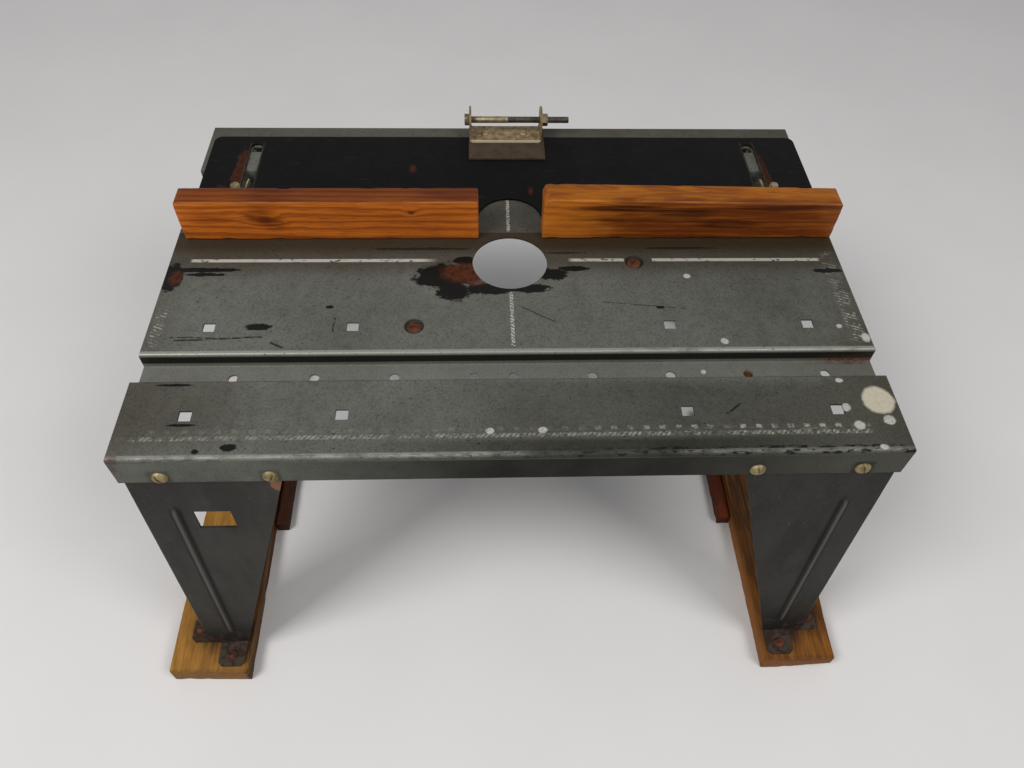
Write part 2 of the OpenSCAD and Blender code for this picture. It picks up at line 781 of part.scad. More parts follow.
module right_fence_board() {
    color(oak) difference() {
        translate([board_right_x, fence_front_y, board_z]) along_y(board_right_t)
            polygon(board_outline(board_right_l, board_right_h, board_right_h - board_right_drop));
        board_bores();
    }
}

module fence_board_screws() {
    color(zinc) board_screw_spots() {
        cylinder(h = fence_t + board_screw_l, d = wood_screw_d, $fn = 32);
        rotate([180, 0, 0]) dome(wood_head_d / 2, board_head_h, wood_slot_w);
    }
}

module rivet_spots() {
    for (x = [-rivet_pitch / 2, rivet_pitch / 2])
        translate([rivet_mid_x + x, bracket_mid_y, 0]) children();
}

module guard_plate() {
    color(rusty) difference() {
        translate([guard_plate_left_x, guard_plate_rear_y - guard_plate_l, fence_top_z])
            cube([guard_plate_right_x - guard_plate_left_x, guard_plate_l, guard_plate_t]);
        rivet_spots() translate([0, 0, fence_top_z - overcut])
            cylinder(h = guard_plate_t + 2 * overcut, r = rivet_shank_r + thread_clear, $fn = 32);
    }
}

// The bracket's section across the table: a strip bent up into two ears
function bracket_skin(depth) = concat(
    [[bracket_left_x + depth, hinge_z + bracket_w / 2]],
    arc([bracket_left_x + bracket_bend_r, bracket_base_z + bracket_bend_r],
        bracket_bend_r - depth, 180, 270),
    arc([bracket_right_x - bracket_bend_r, bracket_base_z + bracket_bend_r],
        bracket_bend_r - depth, 270, 360),
    [[bracket_right_x - depth, hinge_z + bracket_w / 2]]);

// What is left of the square strip ends outside their round outline
module ear_round_cut() {
    translate([bracket_left_x - overcut, bracket_mid_y, hinge_z]) along_x(bracket_l + 2 * overcut)
        difference() {
            translate([-bracket_w / 2 - overcut, 0]) square([bracket_w + 2 * overcut, bracket_w]);
            circle(d = bracket_w, $fn = 64);
        }
}

module guard_bracket() {
    color(zinc) difference() {
        translate([0, bracket_mid_y - bracket_w / 2, 0]) along_y(bracket_w)
            polygon(concat(bracket_skin(0), reversed(bracket_skin(bracket_t))));
        ear_round_cut();
        translate([0, bracket_mid_y, hinge_z])
            bar_x(hinge_d / 2 + running_clear, bracket_left_x - overcut, bracket_right_x + overcut);
        rivet_spots() translate([0, 0, bracket_base_z - overcut])
            cylinder(h = bracket_t + 2 * overcut, r = rivet_shank_r + thread_clear, $fn = 32);
    }
}

module guard_rivets() {
    color(zinc) rivet_spots() {
        translate([0, 0, fence_top_z]) cylinder(h = guard_plate_t + bracket_t, r = rivet_shank_r, $fn = 32);
        translate([0, 0, bracket_base_z + bracket_t]) dome(rivet_head_r, rivet_head_h);
    }
}

module guard_hinge_bolt() {
    color(zinc) translate([bracket_left_x - seat_gap, bracket_mid_y, hinge_z]) {
        bar_x(hinge_d / 2, 0, hinge_bolt_l);
        rotate([0, -90, 0]) hex(hinge_head_w, hinge_head_h);
    }
}

module guard_hinge_nut() {
    color(zinc) translate([bracket_right_x + seat_gap, bracket_mid_y, hinge_z]) difference() {
        rotate([0, 90, 0]) hex(hinge_head_w, hinge_nut_h);
        bar_x(hinge_d / 2 + thread_clear / 2, -overcut, hinge_nut_h + overcut);
    }
}

table_top();
front_left_leg();
front_right_leg();
rear_left_leg();
rear_right_leg();
left_runner();
right_runner();
left_cleat();
right_cleat();
cleat_nails();
apron_screws();
apron_nuts();
foot_tab_screws();
router_screws();
fence_bolts();
fence_washers();
left_wing_nut();
right_wing_nut();
fence_plate();
left_fence_board();
right_fence_board();
fence_board_screws();
guard_plate();
guard_bracket();
guard_rivets();
guard_hinge_bolt();
guard_hinge_nut();
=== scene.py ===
"""Looks of the benchtop router and sabre saw table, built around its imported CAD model.

Every length in the classes is in millimetres in the model's own frame: +X to the right, +Y to
the back, +Z up, with the origin on the floor under the middle of the top.
"""

import json
import logging
import math
from dataclasses import dataclass
from enum import Enum
from functools import reduce
from typing import Callable, Iterable, Optional, Sequence, Union

import bmesh
import bpy
from mathutils import Matrix, Vector, noise as lumps

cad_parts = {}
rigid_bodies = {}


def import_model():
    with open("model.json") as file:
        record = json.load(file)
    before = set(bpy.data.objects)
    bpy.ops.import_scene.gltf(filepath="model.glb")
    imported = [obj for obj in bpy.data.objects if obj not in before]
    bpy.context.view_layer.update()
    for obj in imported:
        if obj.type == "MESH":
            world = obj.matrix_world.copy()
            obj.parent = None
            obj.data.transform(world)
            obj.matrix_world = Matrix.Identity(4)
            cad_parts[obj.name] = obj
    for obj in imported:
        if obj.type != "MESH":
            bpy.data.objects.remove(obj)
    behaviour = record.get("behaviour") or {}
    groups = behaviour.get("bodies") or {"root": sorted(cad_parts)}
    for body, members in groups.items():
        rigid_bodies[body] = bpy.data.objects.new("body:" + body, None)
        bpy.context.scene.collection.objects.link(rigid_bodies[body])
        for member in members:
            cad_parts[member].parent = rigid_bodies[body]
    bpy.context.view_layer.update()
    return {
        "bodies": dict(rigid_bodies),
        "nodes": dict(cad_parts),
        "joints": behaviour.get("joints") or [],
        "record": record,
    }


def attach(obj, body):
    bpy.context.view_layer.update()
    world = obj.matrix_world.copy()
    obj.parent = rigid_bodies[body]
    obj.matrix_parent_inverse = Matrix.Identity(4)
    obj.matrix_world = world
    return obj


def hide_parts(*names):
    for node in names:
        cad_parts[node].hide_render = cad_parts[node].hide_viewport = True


MM = 0.001
LOG = logging.getLogger("router_table")
UP = (0.0, 0.0, 1.0)
SIDES = 48

Colour = tuple[float, float, float]
Point = tuple[float, float, float]
Patch = tuple[float, float, float, float]


class Axis(Enum):
    """The axis that a piece's grain follows."""

    X = 0
    Y = 1


def srgb(*parts: float) -> Colour:
    """Turns a screen colour into the linear colour that a shader takes.

    Args:
        *parts: Red, green and blue from 0 to 255.

    Returns:
        The linear colour.
    """
    shares = (part / 255 for part in parts)
    return tuple(s / 12.92 if s <= 0.04045 else ((s + 0.055) / 1.055) ** 2.4 for s in shares)


def operator(operation: str, swap: bool = False) -> Callable[..., "Sock"]:
    """Makes a method that puts a socket through a Math node.

    Args:
        operation: The node's operation.
        swap: Whether the socket stands behind the other value.

    Returns:
        The method.
    """

    def method(sock: "Sock", *others: "Value") -> "Sock":
        """Adds the Math node."""
        return sock.tree.math(operation, *((*others, sock) if swap else (sock, *others)))

    return method


class Sock:
    """A node's socket on which sums are written as plain Python; | takes the greater value."""

    __add__ = __radd__ = operator("ADD")
    __sub__ = operator("SUBTRACT")
    __rsub__ = operator("SUBTRACT", swap=True)
    __mul__ = __rmul__ = operator("MULTIPLY")
    __truediv__ = operator("DIVIDE")
    __pow__ = operator("POWER")
    __abs__ = operator("ABSOLUTE")
    __lt__ = operator("LESS_THAN")
    __gt__ = operator("GREATER_THAN")
    __or__ = operator("MAXIMUM")
    fraction = operator("FRACT")

    def __init__(self, tree: "Tree", socket: bpy.types.NodeSocket) -> None:
        """Keeps the socket and the tree that new nodes go to."""
        self.tree, self.socket = tree, socket

    def rise(self, low: float, high: float) -> "Sock":
        """Goes smoothly from 0 to 1.

        Args:
            low: Where it is 0.
            high: Where it is 1, which may lie below low.

        Returns:
            The smooth step.
        """
        if low > high:
            return 1 - self.rise(high, low)
        inputs = {"Value": self, "From Min": low, "From Max": high}
        return self.tree.out("ShaderNodeMapRange", inputs, interpolation_type="SMOOTHSTEP")

    def band(self, middle: float, half: float, soft: float) -> "Sock":
        """Is 1 within half of the middle, and falls to 0 over soft."""
        return abs(self - middle).rise(half + soft, half)

    def strokes(self, pitch: float, half: float, soft: float) -> "Sock":
        """Is 1 on a stroke in every pitch; half and soft are given in pitches."""
        return (self / pitch).fraction().band(0.5, half, soft)


Value = Union[Sock, float, Sequence[float], str, bpy.types.ID]


class Tree:
    """Adds nodes to one node tree."""

    def __init__(self, tree: bpy.types.NodeTree) -> None:
        """Keeps the tree's nodes and links."""
        self.nodes, self.links = tree.nodes, tree.links

    def feed(self, socket: bpy.types.NodeSocket, value: Value) -> None:
        """Links an input to a socket, or sets its value.

        Args:
            socket: The input.
            value: A socket, or a value, where a colour may have three parts.
        """
        if isinstance(value, Sock):
            self.links.new(value.socket, socket)
        elif socket.type == "RGBA" and len(value) == 3:
            socket.default_value = (*value, 1.0)
        else:
            socket.default_value = value

    def node(self, kind: str, inputs: Optional[dict] = None, **settings: object) -> bpy.types.Node:
        """Adds a node.

        Args:
            kind: The node's type.
            inputs: Values or sockets by the input's name or number.
            **settings: Its properties.

        Returns:
            The new node.
        """
        node = self.nodes.new(kind)
        for name, value in settings.items():
            setattr(node, name, value)
        for name, value in (inputs or {}).items():
            for item in value if isinstance(value, list) else [value]:
                self.feed(node.inputs[name], item)
        return node

    def out(
        self, kind: str, inputs: Optional[dict] = None, take: Union[int, str] = 0,
        **settings: object,
    ) -> Sock:
        """Adds a node and returns the output to take."""
        return Sock(self, self.node(kind, inputs, **settings).outputs[take])

    def math(self, operation: str, *values: Value) -> Sock:
        """Adds a Math node on its values in order."""
        return self.out("ShaderNodeMath", dict(enumerate(values)), operation=operation)

    def vector_math(self, operation: str, *values: Value, take: int = 0) -> Sock:
        """Adds a Vector Math node on its values in order."""
        return self.out("ShaderNodeVectorMath", dict(enumerate(values)), take, operation=operation)


class Shader(Tree):
    """The nodes of one material, whose colour is laid on in coats, with its places in mm."""

    def __init__(self, name: str, colour: Colour) -> None:
        """Starts an empty material with a Principled shader.

        Args:
            name: The material's name.
            colour: The ground under the coats.
        """
        self.material = bpy.data.materials.new(name)
        self.material.use_nodes = True
        super().__init__(self.material.node_tree)
        self.nodes.clear()
        self.surface = self.node("ShaderNodeBsdfPrincipled")
        lit = Sock(self, self.surface.outputs["BSDF"])
        self.node("ShaderNodeOutputMaterial", {"Surface": lit})
        here = self.out("ShaderNodeTexCoord", take="Object")
        self.place = self.out("ShaderNodeMapping", {"Vector": here, "Scale": (1 / MM,) * 3})
        parts = self.node("ShaderNodeSeparateXYZ", {"Vector": self.place})
        self.x, self.y, self.z = (Sock(self, part) for part in parts.outputs)
        self.colour: Value = colour

    def noise(
        self, size: float, detail: float = 3.0, rough: float = 0.5,
        stretch: Point = (1.0, 1.0, 1.0), warp: float = 0.0, shift: float = 0.0,
    ) -> Sock:
        """Soft noise around 0.5.

        Args:
            size: The size of its blotches in mm.
            detail: How many finer layers it has.
            rough: How strong the finer layers are.
            stretch: How many times longer the blotches are along each axis.
            warp: How far the noise is drawn out by itself.
            shift: Moves the pattern, so that two noises of one size differ.

        Returns:
            The noise's value.
        """
        scale = tuple(1 / (size * part) for part in stretch)
        move = {"Vector": self.place, "Scale": scale, "Location": (shift, 0.7 * shift, -shift)}
        inputs = {"Vector": self.out("ShaderNodeMapping", move), "Scale": 1.0, "Detail": detail}
        inputs |= {"Roughness": rough, "Distortion": warp}
        return self.out("ShaderNodeTexNoise", inputs, "Fac")

    def blot(
        self, centre: Sequence[float], radii: Sequence[float],
        ragged: Value = 0.0, soft: float = 0.12,
    ) -> Sock:
        """An oval patch: 1 in its middle and 0 outside.

        Args:
            centre: The middle's place along X, Y and, where given, Z.
            radii: The half lengths along the same axes.
            ragged: What is added to the distance, in parts of the radius.
            soft: Half the width of its edge, in parts of the radius.

        Returns:
            The patch's mask.
        """
        rest = [0.0] * (3 - len(radii))
        scale = (*(1 / r for r in radii), *rest)
        shift = (*(-c / r for c, r in zip(centre, radii)), *rest)
        spot = self.vector_math("MULTIPLY_ADD", self.place, scale, shift)
        return (self.vector_math("LENGTH", spot, take=1) + ragged).rise(1 + soft, 1 - soft)

    def union(self, masks: Iterable[Sock]) -> Sock:
        """The greatest of several masks."""
        return reduce(Sock.__or__, masks)

    def blots(self, patches: Sequence[Patch], ragged: Value = 0.0, soft: float = 0.12) -> Sock:
        """One mask of several oval patches on the top."""
        return self.union(self.blot(p[:2], p[2:], ragged, soft) for p in patches)

    def scratch(self, start: Sequence[float], end: Sequence[float], width: float) -> Sock:
        """A broken straight scratch on the top between two places.

        Args:
            start: Where it starts, along X and Y.
            end: Where it ends.
            width: Its width in mm.

        Returns:
            The scratch's mask.
        """
        length = math.dist(start, end)
        along = [(b - a) / length for a, b in zip(start, end)]
        gap_x, gap_y = self.x - (start[0] + end[0]) / 2, self.y - (start[1] + end[1]) / 2
        run = (gap_x * along[0] + gap_y * along[1]).band(0, length / 2, 1.5)
        side = gap_y * along[0] - gap_x * along[1]
        bent = side + (self.noise(14, 2, shift=width) - 0.5) * 1.4
        broken = self.noise(4, 3, 0.6, shift=2.5).rise(0.36, 0.52)
        return bent.band(0, width / 2, 0.3) * run * broken

    def mix(self, factor: Value, first: Value, second: Value, blend: str = "MIX") -> Sock:
        """Mixes two colours."""
        settings = {"data_type": "RGBA", "blend_type": blend, "clamp_factor": True}
        return self.out("ShaderNodeMix", {0: factor, 6: first, 7: second}, 2, **settings)

    def coat(self, mask: Value, colour: Value) -> None:
        """Lays a colour over what is there, as thick as the mask says."""
        self.colour = self.mix(mask, self.colour, colour)

    def finish(
        self, rough: Value, metal: Value = 0.0, height: Optional[Sock] = None,
        depth: float = 0.0, strength: float = 0.0, gloss: float = 0.5,
    ) -> bpy.types.Material:
        """Feeds the Principled shader.

        Args:
            rough: Roughness.
            metal: Metallic.
            height: What the bump follows from 0 to 1, where there is a bump.
            depth: The bump's depth in mm.
            strength: How strongly the bump shows.
            gloss: The specular level.

        Returns:
            The finished material.
        """
        inputs = {"Base Color": self.colour, "Roughness": rough, "Metallic": metal}
        inputs["Specular IOR Level"] = gloss
        if height is not None:
            relief = {"Height": height, "Distance": depth * MM, "Strength": strength}
            inputs["Normal"] = self.out("ShaderNodeBump", relief)
        for name, value in inputs.items():
            self.feed(self.surface.inputs[name], value)
        return self.material


# Worn places of the top: the middle along X and Y and the half lengths, in mm.
BARE_BLACK: tuple[Patch, ...] = (
    (-44, -13, 19, 11.5), (-38, -27, 11, 9), (-52, -17, 12, 6), (-14, -25.5, 18, 5),
    (13, -25, 14, 4), (28, -12, 11, 5.5), (43, -6.5, 11, 2.4), (-30, 1.5, 8, 4), (-29, -12, 9, 9),
    (-224, -13, 8, 13), (-206, -6.5, 26, 2.2), (-203, -11, 14, 1.6), (-160, -58, 8, 3),
    (217, -9.5, 11, 2.2), (-162, -148.6, 5, 2.4), (-179.7, -151, 1.8, 1.5), (-191, -133, 8, 1),
    (-201, -104, 10, 1), (97, -43, 3, 1.3), (-117, -41, 2.6, 1.4), (58, -88, 2.6, 2.2),
)
SMEARS: tuple[Patch, ...] = ((-62, 13.5, 34, 1.3), (36, 9, 15, 1.1), (118, 13.5, 26, 1.2))
BARE_RUST: tuple[Patch, ...] = ((-33, -10, 13, 8), (-24, -17, 8, 5), (-221, -14, 4, 6))
PAINT_SPOTS: tuple[Patch, ...] = (
    (200.4, -138.2, 3.24, 2.88), (219.3, -134.9, 3.6, 3.42), (196, -125.4, 2.7, 2.88),
    (119.3, -14.1, 2.34, 2.16), (133.7, -72.5, 2.52, 2.43), (-15.5, -139.4, 2.34, 1.98),
    (14.9, -139.1, 2.52, 2.16), (210.2, -153.4, 2.52, 1.71), (210.4, -60.5, 1.8, 1.8),
    (197.6, -104.9, 2.34, 1.62), (225, -70.5, 2.7, 3.78), (119.5, -88.5, 1.62, 1.71),
)
DIMPLES: tuple[Patch, ...] = ((85.2, 0, 6.3, 6.3), (-62.4, 58, 6.3, 6.3), (-62.4, -58, 6.3, 6.3))
# Scratches on the top: start, end and width.
SCRATCHES = (
    ((-209, -69), (-157, -66.4), 1.2), ((-150, -71), (-143, -75), 1.4),
    ((-212, -66), (-178, -67.5), 0.8), ((134, -121), (124, -129), 1.1),
    ((5, -41), (27, -55), 0.45), ((60, -38), (112, -44), 0.35), ((-113, -51), (-113, -63), 0.6),
)


@dataclass(frozen=True)
class TopEnamel:
    """The top's worn grey enamel: lines and scale, paint spots, bare patches, rust and chips.

    Above level is what lies on the top and its bends, above surface only its upper side, and
    above channel_floor the floors of the channels as well.
    """

    paint: Colour = srgb(101, 102, 95)
    smoky_and_shade: Colour = srgb(71, 71, 63)
    line: Colour = srgb(188, 184, 172)
    cream: Colour = srgb(184, 177, 156)
    spot: Colour = srgb(176, 174, 166)
    bare: Colour = srgb(7, 6, 6)
    rust: Colour = srgb(78, 40, 23)
    oil_and_shadow: Colour = srgb(47, 36, 22)
    grime_and_shade: Colour = srgb(20, 19, 14)
    steel: Colour = srgb(150, 149, 140)
    level: float = 262.0
    surface: float = 265.4
    channel_floor: float = 254.0

    def lines(self, shader: Shader) -> Sock:
        """The white line across, the centre line and the worn front and end scales.

        Args:
            shader: The material's nodes.

        Returns:
            The lines' mask.
        """
        x, y, noise = shader.x, shader.y, shader.noise
        worn = noise(3.2, 3, 0.6, (1.6, 1, 1)).rise(0.33, 0.45)
        reach = abs(x).rise(215, 212.5) * (x.rise(-47, -62) | x.rise(39, 44))
        clear_of_screw = 1 - x.band(88, 9.4, 0.6)
        across = (y + x * 0.0015).band(1.95, 1.2, 0.5) * reach * clear_of_screw * worn
        across = across * (0.62 + (x + y * 0.9).strokes(1.5, 0.24, 0.14) * 0.38)
        across = across * (1 - x.rise(20, 60) * 0.14)
        centre = x.band(0, 0.95, 0.4) * (y.band(-51, 24, 2) + y.band(50, 18, 1))
        centre = centre * noise(1.3, 2, 0.6).rise(0.38, 0.5)
        centre = centre * (0.2 + (y + x * 0.6).strokes(2.7, 0.22, 0.14) * 0.65)
        small = y.band(-142.4, 0.8, 1.1) * (0.3 + (x - y * 0.8).strokes(2.9, 0.16, 0.2) * 0.7)
        small = small * noise(2.6, 3, 0.6).rise(0.36, 0.6) * (0.42 + x.rise(40, 120) * 0.14)
        large = y.band(-138, 0.7, 1.2) * (x + 5).strokes(9.4, 0.1, 0.16)
        large = large * noise(2.2, 3, 0.6).rise(0.34, 0.6) * (0.12 + x.rise(20, 110) * 0.5)
        haze = y.band(-140.8, 2.2, 2) * noise(2.4, 4, 0.7, (2, 0.7, 1)).rise(0.5, 0.75)
        scale = small | large | haze * (0.08 + x.rise(60, 130) * 0.2)
        scale = scale * (x.rise(-227, -218) * x.rise(208, 203))
        scale = scale * noise(13, 3, 0.6, shift=4.0).rise(0.3, 0.52)
        ticks = (y + x * 0.4).strokes(2.6, 0.15, 0.2) * noise(2.4, 3, 0.6, shift=1.5).rise(0.4, 0.6)
        left = abs(x + 222).rise(4.5, 1.5) * y.band(-58, 13, 5) * ticks * 0.55
        right = x.band(220, 3, 3) * y.band(-32, 38, 5) * ticks * (0.3 + y.rise(-20, -60) * 0.35)
        ends = (left | right) * noise(6, 3, 0.6).rise(0.36, 0.55)
        return (across | centre | scale | ends) * (shader.z > self.surface)

    def bare_mask(self, shader: Shader, ragged: Sock) -> Sock:
        """Where the paint is gone: the worn patches, scratches, flecks and chips.

        Args:
            shader: The material's nodes.
            ragged: What makes the patches' edges uneven.

        Returns:
            The mask.
        """
        x, y, noise, on_top = shader.x, shader.y, shader.noise, shader.z > self.level
        uneven = ragged * 0.6 + (noise(2.4, 3, 0.6, (1.8, 1, 1), shift=12.0) - 0.5) * 0.9
        smears = shader.blots(SMEARS, ragged) * 0.65
        scratches = shader.union(shader.scratch(*one) for one in SCRATCHES) * 0.85
        flecks = noise(2.0, 3, 0.55, (1.5, 1, 1), shift=9.0).rise(0.655, 0.7)
        flecks = flecks * noise(42, 3, 0.6, shift=2.0).rise(0.38, 0.62)
        small = noise(1.1, 2, 0.5, shift=6.0).rise(0.66, 0.72) * 0.7
        worn = noise(2.3, 4, 0.65, (2.8, 0.8, 1), shift=3.0)
        chips = y.band(-155.2, 0.9, 0.5) * (shader.z > 262.8) * worn.rise(0.51, 0.59)
        chips = chips * (0.35 + x.rise(-60, 90) * 0.6)
        streaks = y.band(-152.6, 0.5, 0.9) * worn.rise(0.49, 0.56) * x.rise(-40, 120)
        bare = shader.blots(BARE_BLACK, uneven) | smears | scratches | flecks | small
        return bare * on_top | (chips | streaks * on_top)

    def soot_and_shade(self, shader: Shader) -> Sock:
        """Grime and painted shade on the front and the channel's wall, dirt round the screws,
        painted shade in the dimples.

        Args:
            shader: The material's nodes.

        Returns:
            The mask.
        """
        x, y, z = shader.x, shader.y, shader.z
        on_top, apron = z > self.level, (z < 261.6) * (abs(y) > 155)
        dirt = shader.noise(26, 4).rise(0.4, 0.7)
        # Grime and painted shade on the apron, darker towards the right.
        front = apron * x.rise(-170, 0) * x.rise(235, 70) * (0.92 + dirt * 0.08)
        screws = abs(abs(x) - 172.25).band(31.25, 4.6, 4) * z.band(247.6, 4.6, 4)
        screws = screws * apron * (0.35 + x.rise(120, 210) * 0.35)
        # Painted shade and dirt on the channel's rear wall under the rim.
        wall_shade_and_dirt = y.band(-80.9, 0.8, 0.3) * z.rise(264.4, 263.2) * z.rise(257.2, 258.6)
        lip = y.band(-101.0, 0.35, 0.4) * on_top * 0.5
        # Painted shade in the dimples round the router screws.
        rings = shader.blots(DIMPLES, soft=0.08)
        low = y.rise(-142, -148) * on_top * x.rise(-120, 28) * x.rise(215, 90) * (0.66 + dirt * 0.1)
        dim = y.rise(-100, -106) * on_top * x.band(45, 30, 130) * 0.26
        return front | screws | wall_shade_and_dirt * 0.94 | lip | rings * 0.85 | low | dim

    def build(self) -> bpy.types.Material:
        """Makes the material.

        Returns:
            The material.
        """
        shader = Shader("worn_grey_enamel", self.paint)
        x, y, z = shader.x, shader.y, shader.z
        noise, blot, coat, on_top = shader.noise, shader.blot, shader.coat, z > self.level
        mottle, grain = noise(8, 4, 0.6, warp=0.4), noise(1.3, 3, 0.65)
        ragged = (noise(7, 4, 0.65) - 0.5) * 1.5
        shade = noise(70, 3, 0.55).rise(0.3, 0.75) * 0.45 + x.rise(-60, 220) * 0.4
        shade = shade + mottle.rise(0.4, 0.75) * 0.25 + y.rise(-100, -112) * x.rise(-60, 140) * 0.5
        coat(shade, self.smoky_and_shade)
        coat(grain.rise(0.52, 0.36) * 0.3, self.grime_and_shade)
        coat(grain.rise(0.62, 0.78) * 0.18, self.steel)
        # A painted shadow of the fence, mixed with oil, on the strip in front of it.
        fence_shadow_and_oil = (y.rise(-18, 1) * 0.58 + y.rise(4, 17) * 0.34) * (0.97 + x.rise(-60, 60) * 0.08)
        fence_shadow_and_oil = fence_shadow_and_oil * (y < 30) * on_top
        behind = y.band(46, 30, 6) * abs(x).rise(30, 24) * 0.5
        by_hole = blot((-2, 12), (78, 17), ragged * 0.4, 0.6) * (y < 30) * 0.5
        sides = abs(x).rise(198, 228) * on_top * 0.28
        coat(fence_shadow_and_oil | behind | (y > 140.2) * 0.4 | by_hole | sides, self.oil_and_shadow)
        corner = blot((-206, -122), (46, 28), ragged * 0.5, 0.55) * 0.4
        coat(corner | blot((5, -140), (26, 22), ragged * 0.5, 0.6) * 0.2, self.oil_and_shadow)
        # Painted light: the floors of the channels are lightened.
        coat((z < 258) * (abs(y) < 101) * 0.14, self.steel)
        # Dirt and painted shade in one dark colour.
        coat(self.soot_and_shade(shader), self.grime_and_shade)
        # Worn bare steel and a painted highlight on the rear land's rim and the front bend.
        rim = y.band(-78.9, 1.0, 0.8) * (z > 264.0)
        bend = y.band(-154.5, 0.7, 1.1) * (z > 263.2)
        bend = bend * (0.4 + noise(7, 4, 0.65, (2.4, 1, 1)).rise(0.36, 0.6) * 0.6)
        bend = bend * (1 - x.band(47, 36, 20) * 0.9) * (0.9 - x.rise(60, 100) * 0.4)
        wear_and_highlight = rim * noise(14, 4, 0.6, (3, 1, 1)).rise(0.2, 0.45) | bend
        coat(wear_and_highlight * 0.7, self.steel)
        coat(self.lines(shader) * 0.92, self.line)
        bare = self.bare_mask(shader, ragged)
        coat(bare * 0.96, self.bare)
        channel_end = blot((214, -81, 257), (22, 2.2, 4), ragged, 0.6) * grain.rise(0.38, 0.56)
        corners = blot((-228, -155, 262), (7, 2.5, 9), ragged) * 0.45
        edges = abs(x).rise(227.3, 228.6) * noise(12, 3).rise(0.5, 0.62) * 0.5
        low_edge = z.rise(244.2, 242.2) * noise(16, 3).rise(0.5, 0.65) * 0.5
        rust = shader.blots(BARE_RUST, ragged * 0.8, 0.35) * on_top
        rust = rust | channel_end | corners | edges | low_edge
        rust = rust * noise(3, 4, 0.7).rise(0.25, 0.62)
        coat(rust, self.rust)
        drops = shader.blots(PAINT_SPOTS, ragged * 0.6, 0.2) * (z > self.channel_floor)
        drops = drops * (0.5 + grain.rise(0.3, 0.55) * 0.45)
        coat(drops, self.spot)
        big = blot((216.9, -120.2), (9.6, 10), ragged * 0.2) * (z > self.channel_floor)
        coat(big * (0.84 + grain.rise(0.35, 0.6) * 0.14), self.cream)
        spots = drops | big
        rough = 0.5 + mottle * 0.14 - bare * 0.06 + rust * 0.25 + spots * 0.15 - wear_and_highlight * 0.15
        height = grain * 0.75 + mottle * 0.3 + spots * 0.7
        return shader.finish(rough, wear_and_highlight * 0.3, height, 0.26, 0.6, gloss=0.1)


@dataclass(frozen=True)
class LegEnamel:
    """Dark leg enamel: painted highlight and wear on the bead, painted shade, dirt and rust at the
    foot.

    The bead, the outer edge and the front face are given at the upper end, and they splay
    outwards below it.
    """

    paint: Colour = srgb(52, 50, 46)
    smoky_and_shade: Colour = srgb(31, 30, 27)
    rubbed: Colour = srgb(112, 107, 97)
    soot_and_shade: Colour = srgb(24, 22, 21)
    rust: Colour = srgb(72, 46, 33)
    copper: Colour = srgb(132, 88, 62)
    tab: Colour = srgb(68, 56, 48)
    upper_end: float = 241.0
    bead: float = 205.5
    edge: float = 227.0
    face: float = 156.5
    splay_x: float = 0.0359
    splay_y: float = 0.0426

    def build(self) -> bpy.types.Material:
        """Makes the material.

        Returns:
            The material.
        """
        shader = Shader("dark_leg_enamel", self.paint)
        x, y, z = abs(shader.x), abs(shader.y), shader.z
        noise, coat = shader.noise, shader.coat
        mottle, grain = noise(6, 4, 0.6), noise(1.1, 3, 0.6)
        ragged = (mottle - 0.5) * 1.4
        streaks = noise(24, 4, 0.55, (1, 1, 3)).rise(0.35, 0.7)
        # Smoky streaks, and painted shade that darkens the right-hand legs.
        coat(streaks * 0.7 + shader.x.rise(-100, 150) * 0.45, self.smoky_and_shade)
        coat(grain.rise(0.6, 0.75) * 0.25, self.rubbed)
        drop, on_face, height = self.upper_end - z, y > 150, z.band(125, 84, 4)
        from_bead = abs(x - (self.bead + drop * self.splay_x))
        # Wear and a painted highlight on the bead's crest.
        bead_wear_and_highlight = from_bead.rise(1.5, 0.3) * on_face * height
        corner = abs(x - (self.edge + drop * self.splay_x)).rise(1.6, 0.6)
        corner = corner * abs(y - (self.face + drop * self.splay_y)).rise(2.2, 0.8)
        corner = corner * mottle.rise(0.38, 0.6)
        # Painted shade on the bead's flanks.
        coat(from_bead.band(2.9, 0.9, 0.9) * on_face * height * 0.55, self.soot_and_shade)
        rubbed = bead_wear_and_highlight * 0.4 | corner * 0.4
        coat(rubbed, self.rubbed)
        coat(shader.blot((-139, -157, 236), (5, 9, 7), ragged * 0.5) * 0.8, self.copper)
        scratches = noise(2.2, 2, 0.5, (0.35, 1, 5), shift=6.0).rise(0.70, 0.76) * 0.3
        coat(scratches | noise(2.0, 2, 0.5, shift=4.0).rise(0.74, 0.78) * 0.5, self.rubbed)
        foot = (z + ragged * 14).rise(58, 26)
        coat(foot * 0.85, self.soot_and_shade)
        tab = shader.mix(mottle.rise(0.42, 0.62), self.tab, self.soot_and_shade)
        coat(z.rise(21.5, 20) * (y > 144) * 0.9, tab)
        coat(foot * mottle.rise(0.52, 0.66) * 0.7, self.rust)
        relief = grain * 0.6 + mottle * 0.4 + foot * grain
        rough = 0.48 + mottle * 0.16 + foot * 0.2
        return shader.finish(rough, rubbed * 0.25, relief, 0.15, 0.45, gloss=0.15)


